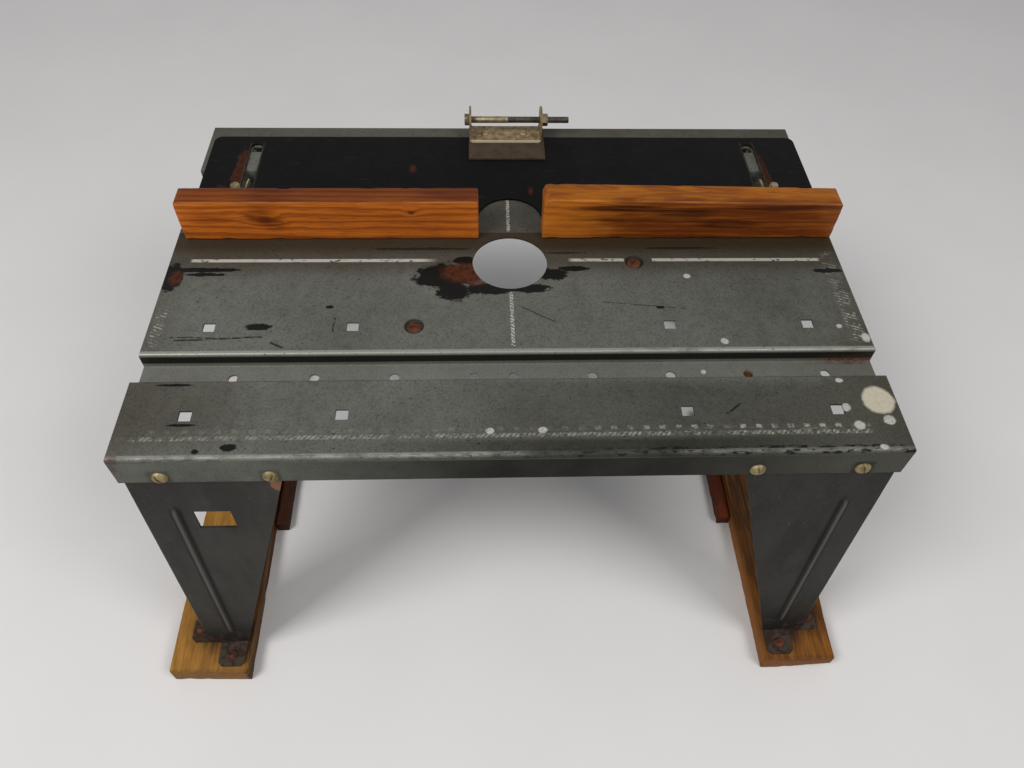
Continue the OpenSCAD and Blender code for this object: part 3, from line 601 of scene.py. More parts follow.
@dataclass(frozen=True)
class FenceBlack:
    """The fence sheet's black paint, rusty beside its slots."""

    paint: Colour = srgb(6, 5, 5)
    dust: Colour = srgb(15, 14, 13)
    rust: Colour = srgb(68, 36, 24)
    steel: Colour = srgb(112, 103, 90)
    slot_x: float = 190.5

    def build(self) -> bpy.types.Material:
        """Makes the material.

        Returns:
            The material.
        """
        shader = Shader("black_fence_paint", self.paint)
        x, y, z = shader.x, shader.y, shader.z
        noise, blot, coat = shader.noise, shader.blot, shader.coat
        mottle, grain = noise(8, 4, 0.6), noise(1.2, 3, 0.6)
        ragged = (noise(6, 4, 0.6) - 0.5) * 1.3
        cloud = noise(45, 4, 0.6).rise(0.4, 0.75) * 0.6
        coat(cloud + grain.rise(0.55, 0.75) * 0.4, self.dust)
        left = blot((-198.5, 88), (4.6, 38), ragged) | blot((-207, 66), (9, 14), ragged) * 0.6
        right = blot((197.5, 84), (3.4, 30), ragged) * 0.75
        spots = blot((-70, 100), (2.6, 4.8), ragged * 0.5, 0.4)
        spots = spots | blot((17.5, 74), (1.7, 4.6), ragged * 0.6, 0.4)
        specks = noise(3, 2, 0.5, shift=5.0).rise(0.745, 0.78) * 0.7
        rims = z.rise(290.4, 291.6) * mottle.rise(0.45, 0.6)
        rear = y.rise(139.2, 140.3) * mottle.rise(0.42, 0.6) * 0.7
        rust = left | right | spots | specks | rims | rear
        rust = rust * noise(2.6, 4, 0.7).rise(0.25, 0.6)
        coat(rust * 0.9, self.rust)
        by_slot = abs(abs(x) - self.slot_x).band(4.9, 0.5, 0.4) * y.band(92, 40, 3) * 0.22
        worn = by_slot * grain.rise(0.4, 0.6)
        coat(worn, self.steel)
        coat(noise(1.8, 2, 0.5, (6, 0.4, 1), shift=3.0).rise(0.69, 0.75) * 0.15, self.steel)
        relief = grain * 0.5 + mottle * 0.5 + rust * 0.6
        rough = 0.5 + mottle * 0.2 + rust * 0.25
        return shader.finish(rough, worn * 0.5, relief, 0.15, 0.5, gloss=0.08)


@dataclass(frozen=True)
class Plating:
    """Tarnished zinc plate with brown stains, and a painted highlight along an edge at a Y and Z
    where it has one.
    """

    name: str
    bright: Colour
    dull: Colour
    stain: Colour
    stained: float = 0.5
    shine: float = 0.38
    metal: float = 0.75
    edge: Optional[tuple[float, float]] = None

    def build(self) -> bpy.types.Material:
        """Makes the material.

        Returns:
            The material.
        """
        shader = Shader(self.name, self.bright)
        cloud, grain = shader.noise(5, 4, 0.6), shader.noise(0.6, 3, 0.6)
        spots = shader.noise(3.0, 4, 0.65, shift=7.0).rise(0.66 - 0.25 * self.stained, 0.76)
        shader.coat(cloud.rise(0.3, 0.7), self.dull)
        shader.coat(grain.rise(0.5, 0.8) * 0.3, self.dull)
        shader.coat(spots * 0.8, self.stain)
        # A painted highlight along the edge at that Y and Z.
        if self.edge is not None:
            rubbed = shader.y.band(self.edge[0], 0.5, 0.6) * shader.z.band(self.edge[1], 0.9, 0.6)
            shader.coat(rubbed * 0.8, srgb(226, 214, 184))
        relief = grain * 0.5 + cloud * 0.5 - spots * 0.3
        rough = self.shine + cloud * 0.2 + spots * 0.25
        return shader.finish(rough, self.metal - spots * 0.8 * self.metal, relief, 0.05, 0.4)


@dataclass(frozen=True)
class Rust:
    """Steel rusted all over, with a few bright rubbed places."""

    name: str
    brown: Colour
    dark: Colour
    rubbed: Colour
    shiny: float = 0.15
    coarse: float = 4.0

    def build(self) -> bpy.types.Material:
        """Makes the material.

        Returns:
            The material.
        """
        shader = Shader(self.name, self.brown)
        cloud, grain = shader.noise(self.coarse, 4, 0.6), shader.noise(0.8, 4, 0.7)
        shader.coat(cloud.rise(0.35, 0.68), self.dark)
        shader.coat(grain.rise(0.5, 0.72) * 0.35, self.dark)
        bright = shader.noise(1.8, 3, 0.6, shift=3.0).rise(0.74 - self.shiny, 0.8 - self.shiny)
        shader.coat(bright * 0.6, self.rubbed)
        rough = 0.72 - bright * 0.25 + (grain - 0.5) * 0.2
        return shader.finish(rough, bright * 0.5, grain * 0.7 + cloud * 0.3, 0.1, 0.6, gloss=0.25)


@dataclass(frozen=True)
class Knot:
    """A knot: its place and its radius in mm."""

    middle: Point
    radius: float


@dataclass(frozen=True)
class Stain:
    """A dark place in the wood: its middle, half lengths, strength, colour and how soft it is."""

    middle: Point
    half: Point
    strength: float
    colour: Colour
    soft: float


@dataclass(frozen=True)
class Wood:
    """Wood with its rings about a heart line that runs along the grain.

    The heart is given across the grain and in height, the upper side by its height and slope.
    """

    name: str
    light: Colour
    dark: Colour
    stain: Colour
    along: Axis
    heart: tuple[float, float]
    ring: float
    contrast: float
    tilt: float = 0.02
    wander: float = 9.0
    stained: float = 0.4
    rough: float = 0.5
    knots: tuple[Knot, ...] = ()
    stains: tuple[Stain, ...] = ()
    rubbed_and_highlit_edge: Optional[float] = None
    top_plane: tuple[float, float] = (1000.0, 0.0)
    top_tone: Colour = (1.0, 1.0, 1.0)
    shift: float = 0.0

    def drawn(self, part: float) -> Point:
        """A factor of that part along the grain and of 1 across it."""
        return (part, 1.0, 1.0) if self.along is Axis.X else (1.0, part, 1.0)

    def build(self) -> bpy.types.Material:
        """Makes the material.

        Returns:
            The material.
        """
        shader = Shader(self.name, self.light)
        noise, coat, up, shift = shader.noise, shader.coat, shader.z, self.shift
        along, across = (shader.x, shader.y) if self.along is Axis.X else (shader.y, shader.x)
        long, slow, short = (self.drawn(part) for part in (22.0, 6.0, 0.55))
        wander_a = (noise(30, 3, 0.5, slow, shift=shift) - 0.5) * self.wander * 2
        wander_b = (noise(24, 3, 0.5, slow, shift=shift + 5) - 0.5) * self.wander * 2
        off_a = across - self.heart[0] + along * self.tilt + wander_a
        off_b = up - self.heart[1] + wander_b
        radius = (off_a * off_a + off_b * off_b) ** 0.5
        cores = []
        for knot in self.knots:
            away = shader.vector_math("SUBTRACT", shader.place, knot.middle)
            away = shader.vector_math("MULTIPLY", away, short)
            gap = shader.vector_math("LENGTH", away, take=1) + (noise(4, 3) - 0.5) * 3.0
            radius = radius + gap.rise(knot.radius * 4.0, 0.0) * knot.radius * 1.6
            cores.append(gap.rise(knot.radius * 1.5, knot.radius * 0.4))
        fibre = noise(1.0, 4, 0.6, long, shift=shift + 1)
        phase = (radius / self.ring + (fibre - 0.5) * 0.7).fraction()
        late = phase.rise(0.3, 0.85) - phase.rise(0.9, 1.0)
        bold = 0.35 + 1.1 * noise(30, 3, 0.6, slow, shift=shift + 8)
        coat(late * self.contrast * bold, self.dark)
        coat(fibre.rise(0.42, 0.72) * 0.5, self.dark)
        pores = noise(0.5, 2, 0.5, long, shift=shift + 2).rise(0.58, 0.7)
        coat(pores * 0.4, self.stain)
        cloud = noise(26, 4, 0.6, slow, shift=shift + 3).rise(0.44, 0.7)
        coat(cloud * self.stained, self.stain)
        if cores:
            coat(shader.union(cores) * 0.8, self.stain)
        ragged = (noise(5, 4, 0.65, slow) - 0.5) * 1.4
        streaks = 0.55 + noise(2.4, 3, 0.6, long, shift=shift + 4).rise(0.35, 0.6) * 0.45
        for stain in self.stains:
            mask = shader.blot(stain.middle, stain.half, ragged * (1.15 - stain.soft), stain.soft)
            coat(mask * streaks * stain.strength, stain.colour)
        base, slope = self.top_plane
        over = up - base - along * slope
        coat(over.rise(-1.3, -0.5), shader.mix(1.0, shader.colour, self.top_tone, "MULTIPLY"))
        # A lighter line along the upper front edge: rubbed wood and a painted highlight.
        if self.rubbed_and_highlit_edge is not None:
            rubbed = across.band(self.rubbed_and_highlit_edge, 0.3, 0.9) * over.band(-0.3, 0.3, 0.9)
            rubbed = rubbed * noise(14, 3, 0.6, slow).rise(0.3, 0.6)
            coat(rubbed * 0.45, srgb(196, 128, 62))
        relief = fibre * 0.55 + (1 - late) * 0.3 - pores * 0.5
        rough = self.rough + (fibre - 0.5) * 0.25 - late * 0.06
        return shader.finish(rough, 0.0, relief, 0.16, 0.6, gloss=0.1)


@dataclass(frozen=True)
class StageMatt:
    """The pale floor under the object."""

    pale: Colour = srgb(226, 223, 221)
    dusty: Colour = srgb(214, 211, 209)

    def build(self) -> bpy.types.Material:
        """Makes the material.

        Returns:
            The material.
        """
        shader = Shader("pale_floor", self.pale)
        shader.coat(shader.noise(160, 3, 0.5).rise(0.3, 0.7) * 0.25, self.dusty)
        return shader.finish(0.7, gloss=0.25)


class GeometryTree(Tree):
    """A Geometry Nodes group with named inputs for its sizes."""

    def __init__(self, name: str, *labels: str) -> None:
        """Starts a group.

        Args:
            name: The group's name.
            *labels: Names of its number inputs, beside Geometry, Finish and Seed.
        """
        self.group = bpy.data.node_groups.new(name, "GeometryNodeTree")
        super().__init__(self.group)
        kinds = {"Geometry": "Geometry", **dict.fromkeys(labels, "Float")}
        kinds |= {"Finish": "Material", "Seed": "Int"}
        self.keys = {}
        for label, kind in kinds.items():
            face = {"in_out": "INPUT", "socket_type": f"NodeSocket{kind}"}
            self.keys[label] = self.group.interface.new_socket(label, **face).identifier
        face = {"in_out": "OUTPUT", "socket_type": "NodeSocketGeometry"}
        self.group.interface.new_socket("Geometry", **face)
        entry = self.node("NodeGroupInput")
        self.given = {label: Sock(self, entry.outputs[label]) for label in kinds}
        self.labels = labels
        self.sizes = [self.given[label] for label in labels]

    def vector(self, x: Value, y: Value, z: Value) -> Sock:
        """Makes a vector of three numbers."""
        return self.out("ShaderNodeCombineXYZ", {"X": x, "Y": y, "Z": z})

    def moved(self, shape: Sock, height: Value = 0.0, scale: Value = (1.0, 1.0, 1.0)) -> Sock:
        """The shape, moved up and scaled."""
        inputs = {"Geometry": shape, "Translation": self.vector(0.0, 0.0, height), "Scale": scale}
        return self.out("GeometryNodeTransform", inputs)

    def ball(self, across: Value, height: Value) -> Sock:
        """A flattened ball of that radius and half height."""
        ball = self.out("GeometryNodeMeshUVSphere", {"Segments": 36, "Rings": 18, "Radius": 1.0})
        return self.moved(ball, scale=self.vector(across, across, height))

    def block(self, x: Value, y: Value, z: Value, middle: Value) -> Sock:
        """A cuboid of those sides with its middle at that height."""
        cube = self.out("GeometryNodeMeshCube", {"Size": self.vector(x, y, z)})
        return self.moved(cube, middle)

    def rod(self, radius: Value, length: Value, middle: Value, sides: int = 32) -> Sock:
        """An upright rod with its middle at that height."""
        inputs = {"Vertices": sides, "Radius": radius, "Depth": length}
        return self.moved(self.out("GeometryNodeMeshCylinder", inputs), middle)

    def solids(self, operation: str, inputs: dict) -> Sock:
        """An exact Boolean of solids."""
        return self.out("GeometryNodeMeshBoolean", inputs, operation=operation, solver="EXACT")

    def common(self, first: Sock, second: Sock) -> Sock:
        """What both shapes hold."""
        return self.solids("INTERSECT", {"Mesh 2": [first, second]})

    def cut(self, first: Sock, second: Sock) -> Sock:
        """The first shape without the second."""
        return self.solids("DIFFERENCE", {"Mesh 1": first, "Mesh 2": second})

    def dome(self, radius: Sock, height: Sock) -> Sock:
        """The upper half of a flattened ball."""
        wide = radius * 4
        return self.common(self.ball(radius, height), self.block(wide, wide, wide, wide / 2))

    def close(self, shapes: list[Sock], spread: Value = 0.0) -> "GeometryTree":
        """Sets the shapes on every point, along the point's aim, and ends the group.

        Args:
            shapes: The parts of one piece, standing along +Z.
            spread: The angle in radians over which the pieces are turned at random.

        Returns:
            This group.
        """
        whole = self.out("GeometryNodeJoinGeometry", {"Geometry": shapes})
        aim, turn = (
            self.out("GeometryNodeInputNamedAttribute", {"Name": label}, data_type=kind)
            for label, kind in (("aim", "FLOAT_VECTOR"), ("turn", "FLOAT"))
        )
        limits = {2: -0.5, 3: 0.5, 8: self.given["Seed"]}
        chance = self.out("FunctionNodeRandomValue", limits, 1, data_type="FLOAT")
        upright = self.out("FunctionNodeAlignRotationToVector", {"Vector": aim}, axis="Z")
        inputs = {"Axis": UP, "Angle": turn + chance * spread}
        spin = self.out("FunctionNodeAxisAngleToRotation", inputs)
        inputs = {"Rotation": upright, "Rotate By": spin}
        place = self.out("FunctionNodeRotateRotation", inputs, rotation_space="LOCAL")
        spots = self.out("GeometryNodeMeshToPoints", {"Mesh": self.given["Geometry"]})
        inputs = {"Points": spots, "Instance": whole, "Rotation": place}
        copies = self.out("GeometryNodeInstanceOnPoints", inputs)
        solid = self.out("GeometryNodeRealizeInstances", {"Geometry": copies})
        inputs = {"Geometry": solid, "Material": self.given["Finish"]}
        dressed = self.out("GeometryNodeSetMaterial", inputs)
        self.node("NodeGroupOutput", {"Geometry": dressed})
        return self


def slotted_screws() -> GeometryTree:
    """A group that sets slotted round-head screws on points.

    Returns:
        The group.
    """
    labels = ("Head radius", "Head height", "Slot width", "Slot depth")
    tree = GeometryTree("slotted_screws", *labels, "Shank radius", "Shank length", "Turn spread")
    radius, height, slot, depth, thin, length, spread = tree.sizes
    cutter = tree.block(radius * 4, slot, height * 2, height * 2 - depth)
    head = tree.cut(tree.dome(radius, height), cutter)
    return tree.close([tree.rod(thin, length, length * -0.5), head], spread)


def domed_heads() -> GeometryTree:
    """A group that sets plain domed heads with a shank, such as rivets and nails, on points.

    Returns:
        The group.
    """
    labels = ("Head radius", "Head height", "Shank radius", "Shank length")
    tree = GeometryTree("domed_heads", *labels)
    radius, height, thin, length = tree.sizes
    return tree.close([tree.rod(thin, length, length * -0.5), tree.dome(radius, height)], 1.0)


def hexagon_nuts() -> GeometryTree:
    """A group that sets hexagon nuts with rounded corners on points.

    Returns:
        The group.
    """
    labels = ("Corner radius", "Height", "Bore radius", "Rounding", "Turn spread")
    tree = GeometryTree("hexagon_nuts", *labels)
    corner, height, bore, rounding, spread = tree.sizes
    middle = height * 0.5
    ball = tree.moved(tree.ball(rounding, rounding), middle)
    nut = tree.common(tree.rod(corner, height, middle, sides=6), ball)
    return tree.close([tree.cut(nut, tree.rod(bore, height * 3, middle))], spread)


def washers() -> GeometryTree:
    """A group that sets flat washers on points.

    Returns:
        The group.
    """
    tree = GeometryTree("washers", "Radius", "Thickness", "Bore radius")
    radius, thick, bore = tree.sizes
    disc = tree.rod(radius, thick, thick * 0.5, sides=64)
    return tree.close([tree.cut(disc, tree.rod(bore, thick * 3, thick * 0.5, sides=48))])


def threaded_rods() -> GeometryTree:
    """A group that sets threaded rods on points, each standing along the point's aim.

    Returns:
        The group.
    """
    tree = GeometryTree("threaded_rods", "Radius", "Length", "Pitch", "Ridge")
    radius, length, pitch, ridge = tree.sizes
    core_length = length + ridge * 1.2
    core = tree.rod(radius - ridge * 1.1, core_length, core_length * 0.5)
    inputs = {"Resolution": 28, "Rotations": length / pitch, "Height": length}
    inputs |= {"Start Radius": radius - ridge, "End Radius": radius - ridge}
    spiral = tree.out("GeometryNodeCurveSpiral", inputs)
    profile = tree.out("GeometryNodeCurvePrimitiveCircle", {"Resolution": 6, "Radius": ridge})
    inputs = {"Curve": spiral, "Profile Curve": profile, "Fill Caps": True}
    return tree.close([core, tree.out("GeometryNodeCurveToMesh", inputs)])


@dataclass(frozen=True)
class Spot:
    """Where a small piece stands: its place, the way it points, and its turn in degrees."""

    place: Point
    aim: Point = UP
    turn: float = 0.0


def soften(mesh: bpy.types.Mesh, angle: float = 32.0) -> None:
    """Shades a mesh smooth between edges.

    Args:
        mesh: The mesh.
        angle: Edges sharper than this, in degrees, stay sharp.
    """
    form = bmesh.new()
    form.from_mesh(mesh)
    for face in form.faces:
        face.smooth = True
    for edge in form.edges:
        edge.smooth = len(edge.link_faces) == 2 and edge.calc_face_angle(0.0) < math.radians(angle)
    form.to_mesh(mesh)
    form.free()


def add_object(name: str, mesh: bpy.types.Mesh) -> bpy.types.Object:
    """Puts a mesh into the scene as an object at the origin.

    Args:
        name: The object's name.
        mesh: The mesh.

    Returns:
        The object.
    """
    piece = bpy.data.objects.new(name, mesh)
    bpy.context.scene.collection.objects.link(piece)
    return piece


def points_mesh(name: str, spots: Sequence[Spot]) -> bpy.types.Mesh:
    """Makes a mesh of loose points that carry an aim and a turn.

    Args:
        name: The mesh's name.
        spots: Where the points go.

    Returns:
        The mesh.
    """
    mesh = bpy.data.meshes.new(name)
    mesh.from_pydata([Vector(s.place) * MM for s in spots], [], [])
    aim = mesh.attributes.new("aim", "FLOAT_VECTOR", "POINT")
    aim.data.foreach_set("vector", [part for s in spots for part in s.aim])
    turn = mesh.attributes.new("turn", "FLOAT", "POINT")
    turn.data.foreach_set("value", [math.radians(s.turn) for s in spots])
    return mesh


def grow(
    name: str, tree: GeometryTree, spots: Sequence[Spot], sizes: Sequence[float],
    finish: bpy.types.Material, seed: int = 1,
) -> bpy.types.Object:
    """Runs a group on points and keeps its result as a plain mesh.

    Args:
        name: The piece's name.
        tree: The group.
        spots: Where its copies stand.
        sizes: The group's sizes in order, in mm, and a turn spread in degrees.
        finish: Their material.
        seed: The seed of what is random.

    Returns:
        The piece.
    """
    piece = add_object(name, points_mesh(name + "_points", spots))
    modifier = piece.modifiers.new("grow", "NODES")
    modifier.node_group = tree.group
    for label, value in zip(tree.labels, sizes):
        modifier[tree.keys[label]] = value * (math.radians(1.0) if label == "Turn spread" else MM)
    modifier[tree.keys["Finish"]] = finish
    modifier[tree.keys["Seed"]] = seed
    bpy.context.view_layer.update()
    graph = bpy.context.evaluated_depsgraph_get()
    mesh = bpy.data.meshes.new_from_object(piece.evaluated_get(graph), depsgraph=graph)
    piece.modifiers.remove(modifier)
    piece.data = mesh
    for extra in [a.name for a in mesh.attributes if a.name in ("aim", "turn")]:
        mesh.attributes.remove(mesh.attributes[extra])
    soften(mesh)
    return piece


def dress(piece: bpy.types.Object, finish: bpy.types.Material) -> None:
    """Gives a piece its only material."""
    piece.data.materials.clear()
    piece.data.materials.append(finish)


def settle(
    piece: bpy.types.Object, node: str, finish: bpy.types.Material,
    slot: str = "yellow_zinc", body: str = "table",
) -> None:
    """Dresses a finished piece, sets it on its body and hides the CAD node it stands for.

    Args:
        piece: The piece.
        node: The CAD node it replaces.
        finish: Its material.
        slot: The record's material slot; not used.
        body: The CAD body it rides on.
    """
    dress(piece, finish)
    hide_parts(node)
    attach(piece, body)
    LOG.info("%s: %d faces on %s", piece.name, len(piece.data.polygons), body)


def bridge(form: bmesh.types.BMesh, rings: Sequence[list]) -> None:
    """Sets faces between rings of points in order, where a ring may be a single point.

    Args:
        form: The form that holds the points.
        rings: The rings, with equal numbers of points where they have more than one.
    """
    for low, high in zip(rings, rings[1:]):
        sides = max(len(low), len(high))
        for i in range(sides):
            j = (i + 1) % sides
            corners = [low[i % len(low)], low[j % len(low)], high[j % len(high)]]
            corners = list(dict.fromkeys([*corners, high[i % len(high)]]))
            if len(corners) > 2:
                form.faces.new(corners)


def lathe(outline: Sequence[tuple[float, float]], closed: bool = False) -> bmesh.types.BMesh:
    """Turns an outline of radius and height about Z, in mm.

    Args:
        outline: Its points from the bottom to the top.
        closed: Whether the last point runs back to the first.

    Returns:
        The form.
    """
    form = bmesh.new()
    around = [2 * math.pi * i / SIDES for i in range(SIDES)]
    rings = [
        [form.verts.new((r * math.cos(a), r * math.sin(a), h)) for a in (around if r else [0.0])]
        for r, h in outline
    ]
    bridge(form, rings + rings[:1] if closed else rings)
    return form


def cast(
    name: str, form: bmesh.types.BMesh, place: Matrix = Matrix.Identity(4), angle: float = 32.0
) -> bpy.types.Object:
    """Turns a form in mm into an object in metres and frees the form.

    Args:
        name: The object's name.
        form: The form.
        place: Where it is moved to, in mm.
        angle: Edges sharper than this, in degrees, stay sharp.

    Returns:
        The object.
    """
    form.transform(Matrix.Scale(MM, 4) @ place)
    bmesh.ops.recalc_face_normals(form, faces=form.faces)
    mesh = bpy.data.meshes.new(name)
    form.to_mesh(mesh)
    form.free()
    soften(mesh, angle)
    return add_object(name, mesh)


def joined(name: str, pieces: Sequence[bpy.types.Object]) -> bpy.types.Object:
    """Joins several objects at the origin into one.

    Args:
        name: The new piece's name.
        pieces: The objects, which are used up.

    Returns:
        The joined piece.
    """
    form = bmesh.new()
    for piece in pieces:
        form.from_mesh(piece.data)
        bpy.data.objects.remove(piece)
    mesh = bpy.data.meshes.new(name)
    form.to_mesh(mesh)
    form.free()
    soften(mesh)
    return add_object(name, mesh)


@dataclass
class Plank:
    """A sawn piece of wood with eased and slightly knocked edges."""

    name: str
    node: str
    slot: str
    low: Point
    high: Point
    finish: Wood
    seed: float
    body: str = "table"
    ease: float = 1.1
    dents: float = 0.5
    step: float = 5.0
    shape: Optional[Callable[[Vector], Vector]] = None

    def form(self) -> bmesh.types.BMesh:
        """The block with eased edges, cut into a grid fine enough to be knocked about.

        Returns:
            The form.
        """
        low, high = Vector(self.low), Vector(self.high)
        form = bmesh.new()
        bmesh.ops.create_cube(form, size=1.0)
        for vert in form.verts:
            vert.co = Vector(low[i] if vert.co[i] < 0 else high[i] for i in range(3))
        rounding = {"offset": self.ease, "segments": 3, "profile": 0.5, "affect": "EDGES"}
        bmesh.ops.bevel(form, geom=list(form.edges), **rounding)
        for axis in range(3):
            span = high[axis] - low[axis] - 2 * self.ease
            count = max(1, round(span / self.step))
            normal = Vector(1.0 if i == axis else 0.0 for i in range(3))
            for i in range(1, count):
                place = normal * (low[axis] + self.ease + span * i / count)
                parts = [*form.verts, *form.edges, *form.faces]
                bmesh.ops.bisect_plane(form, geom=parts, plane_co=place, plane_no=normal)
        return form

    def knock(self, point: Vector) -> Vector:
        """Moves a point of the surface in a little, most on the edges.

        Args:
            point: The point in mm.

        Returns:
            Its new place.
        """
        low, high = Vector(self.low), Vector(self.high)
        seed = Vector((self.seed, self.seed * 1.7, -self.seed))
        near = self.ease * 1.2
        faces = [i for i in range(3) if min(point[i] - low[i], high[i] - point[i]) < near]
        depth = 0.22 * (0.5 + 0.5 * lumps.noise(point * 0.018 + seed))
        if len(faces) > 1:
            depth += self.dents * max(0.0, lumps.noise(point * 0.11 + seed * 2) - 0.12) * 2.2
        moved = point.copy()
        for axis in faces:
            inward = 1.0 if point[axis] - low[axis] < high[axis] - point[axis] else -1.0
            moved[axis] += inward * depth
        return moved

    def build(self) -> None:
        """Makes the plank and sets it on its body."""
        form = self.form()
        for vert in form.verts:
            vert.co = self.knock(vert.co)
            if self.shape is not None:
                vert.co = self.shape(vert.co)
        piece = cast(self.name, form, angle=40.0)
        settle(piece, self.node, self.finish.build(), self.slot, self.body)


def ease_step(value: float, low: float, high: float) -> float:
    """Goes smoothly from 0 at low to 1 at high."""
    part = min(1.0, max(0.0, (value - low) / (high - low)))
    return part * part * (3 - 2 * part)


@dataclass
class Runners:
    """The two wooden runners and the strip along the inner side of each."""

    inner: float = 202.0
    outer: float = 262.0
    half_length: float = 190.0
    height: float = 18.0
    strip_width: float = 11.0
    strip_half: float = 60.0
    strip_height: float = 12.0
    taper: float = 4.5
    lift: float = 7.0
    slant: float = 1.4
    tab_soil: Colour = srgb(34, 27, 22)

    def bowed_end(self, point: Vector) -> Vector:
        """Narrows the right runner's front end towards its outer side and thins it below.

        Args:
            point: A point of the runner in mm.

        Returns:
            Its new place.
        """
        near = 1 - ease_step(point.y, -self.half_length, -60.0)
        tip = 1 - ease_step(point.y, -self.half_length, -150.0)
        out = (point.x - self.inner) / (self.outer - self.inner)
        lift = self.lift * tip * max(0.0, out - 0.3) / 0.7 * (1 - point.z / self.height)
        return Vector((point.x - self.taper * near * out, point.y, point.z + lift))

    def waned_end(self, point: Vector) -> Vector:
        """Slants the left runner's front end slightly.

        Args:
            point: A point of the runner in mm.

        Returns:
            Its new place.
        """
        near = 1 - ease_step(point.y, -self.half_length, -165.0)
        out = (-point.x - self.inner) / (self.outer - self.inner)
        return Vector((point.x, point.y + self.slant * near * max(0.0, out), point.z))

    def soiled(self, side: float) -> tuple[Stain, ...]:
        """The dirty places round the two foot tabs of one side.

        Args:
            side: -1 for the left runner and 1 for the right.

        Returns:
            The stains at the front and the back.
        """
        outer = 0.4 if side < 0 else 0.85
        places = ((215.0, 171.0, 0.85), (228.0, 161.0, 0.85), (243.0, 155.0, outer))
        return tuple(
            Stain((side * x, end * y, self.height), (13, 13, 9), strength, self.tab_soil, 0.6)
            for end in (-1, 1) for x, y, strength in places
        )

    def build(self) -> None:
        """Makes the runners and the strips."""
        gold = Wood(
            "left_runner_wood", srgb(164, 118, 54), srgb(118, 78, 34), srgb(84, 52, 25), Axis.Y,
            (-238.0, -34.0), 3.0, 0.55, stained=0.25, rough=0.6, shift=1.0,
            knots=(Knot((-221, 40, 18), 3.0),),
            stains=(
                # Painted shade on the left runner's inner side.
                Stain((-202, 0, 9), (4.5, 215, 30), 0.95, srgb(50, 27, 14), 0.2),
                Stain((-232, -190, 9), (90, 3, 40), 0.42, srgb(56, 36, 14), 0.5),
                *self.soiled(-1.0),
            ),
        )
        brown = Wood(
            "right_runner_wood", srgb(152, 96, 38), srgb(102, 58, 23), srgb(66, 36, 19), Axis.Y,
            (228.0, -40.0), 3.2, 0.55, stained=0.3, rough=0.6, shift=4.0,
            knots=(Knot((240, 70, 18), 3.4),),
            stains=(
                # Painted shade and dirt on the right runner's top under the table.
                Stain((230, 0, 18), (40, 196, 7), 0.95, srgb(50, 33, 19), 0.5),
                Stain((232, -190, 9), (90, 3, 40), 0.4, srgb(56, 34, 14), 0.5),
                *self.soiled(1.0),
            ),
        )
        reddish = Wood(
            "strip_wood", srgb(108, 50, 26), srgb(66, 30, 17), srgb(44, 22, 14), Axis.Y,
            (196.0, -30.0), 2.4, 0.6, stained=0.5, rough=0.65, shift=7.0,
        )
        # The left strip's darker wood is painted shade.
        dark = Wood(
            "shaded_left_strip_wood", srgb(60, 32, 18), srgb(38, 20, 12), srgb(26, 15, 10), Axis.Y,
            (-199.0, -26.0), 2.6, 0.6, stained=0.5, rough=0.65, shift=8.0,
        )
        inner, outer, end, top = self.inner, self.outer, self.half_length, self.height
        Plank(
            "left_runner_plank", "left_runner", "runner_wood", (-outer, -end, 0.0),
            (-inner, end, top), gold, 1.0, shape=self.waned_end,
        ).build()
        Plank(
            "right_runner_plank", "right_runner", "runner_wood", (inner, -end, 0.0),
            (outer, end, top), brown, 2.0, shape=self.bowed_end,
        ).build()
        edge, end, top = self.inner - self.strip_width, self.strip_half, self.strip_height
        Plank(
            "left_strip", "left_cleat", "cleat_wood", (-inner, -end, 0.0), (-edge, end, top),
            dark, 3.0, ease=0.8, step=4.0,
        ).build()
        Plank(
            "right_strip", "right_cleat", "cleat_wood", (edge, -end, 0.0), (inner, end, top),
            reddish, 4.0, ease=0.8, step=4.0,
        ).build()


def round_corner(point: Vector, corner: tuple[float, float], side: float, radius: float) -> Vector:
    """Draws a point in, so that an upper corner of a board is round.

    Args:
        point: The point.
        corner: The corner's place along the board and its height.
        side: 1 where the board runs to the right from the corner, and -1 to the left.
        radius: The rounding.

    Returns:
        The point, moved onto the round where it lay outside.
    """
    middle_x, middle_z = corner[0] + side * radius, corner[1] - radius
    along, up = (middle_x - point.x) * side, point.z - middle_z
    away = math.hypot(along, up)
    if along <= 0 or up <= 0 or away <= radius:
        return point
    pull = radius / away
    return Vector((middle_x - side * along * pull, point.y, middle_z + up * pull))


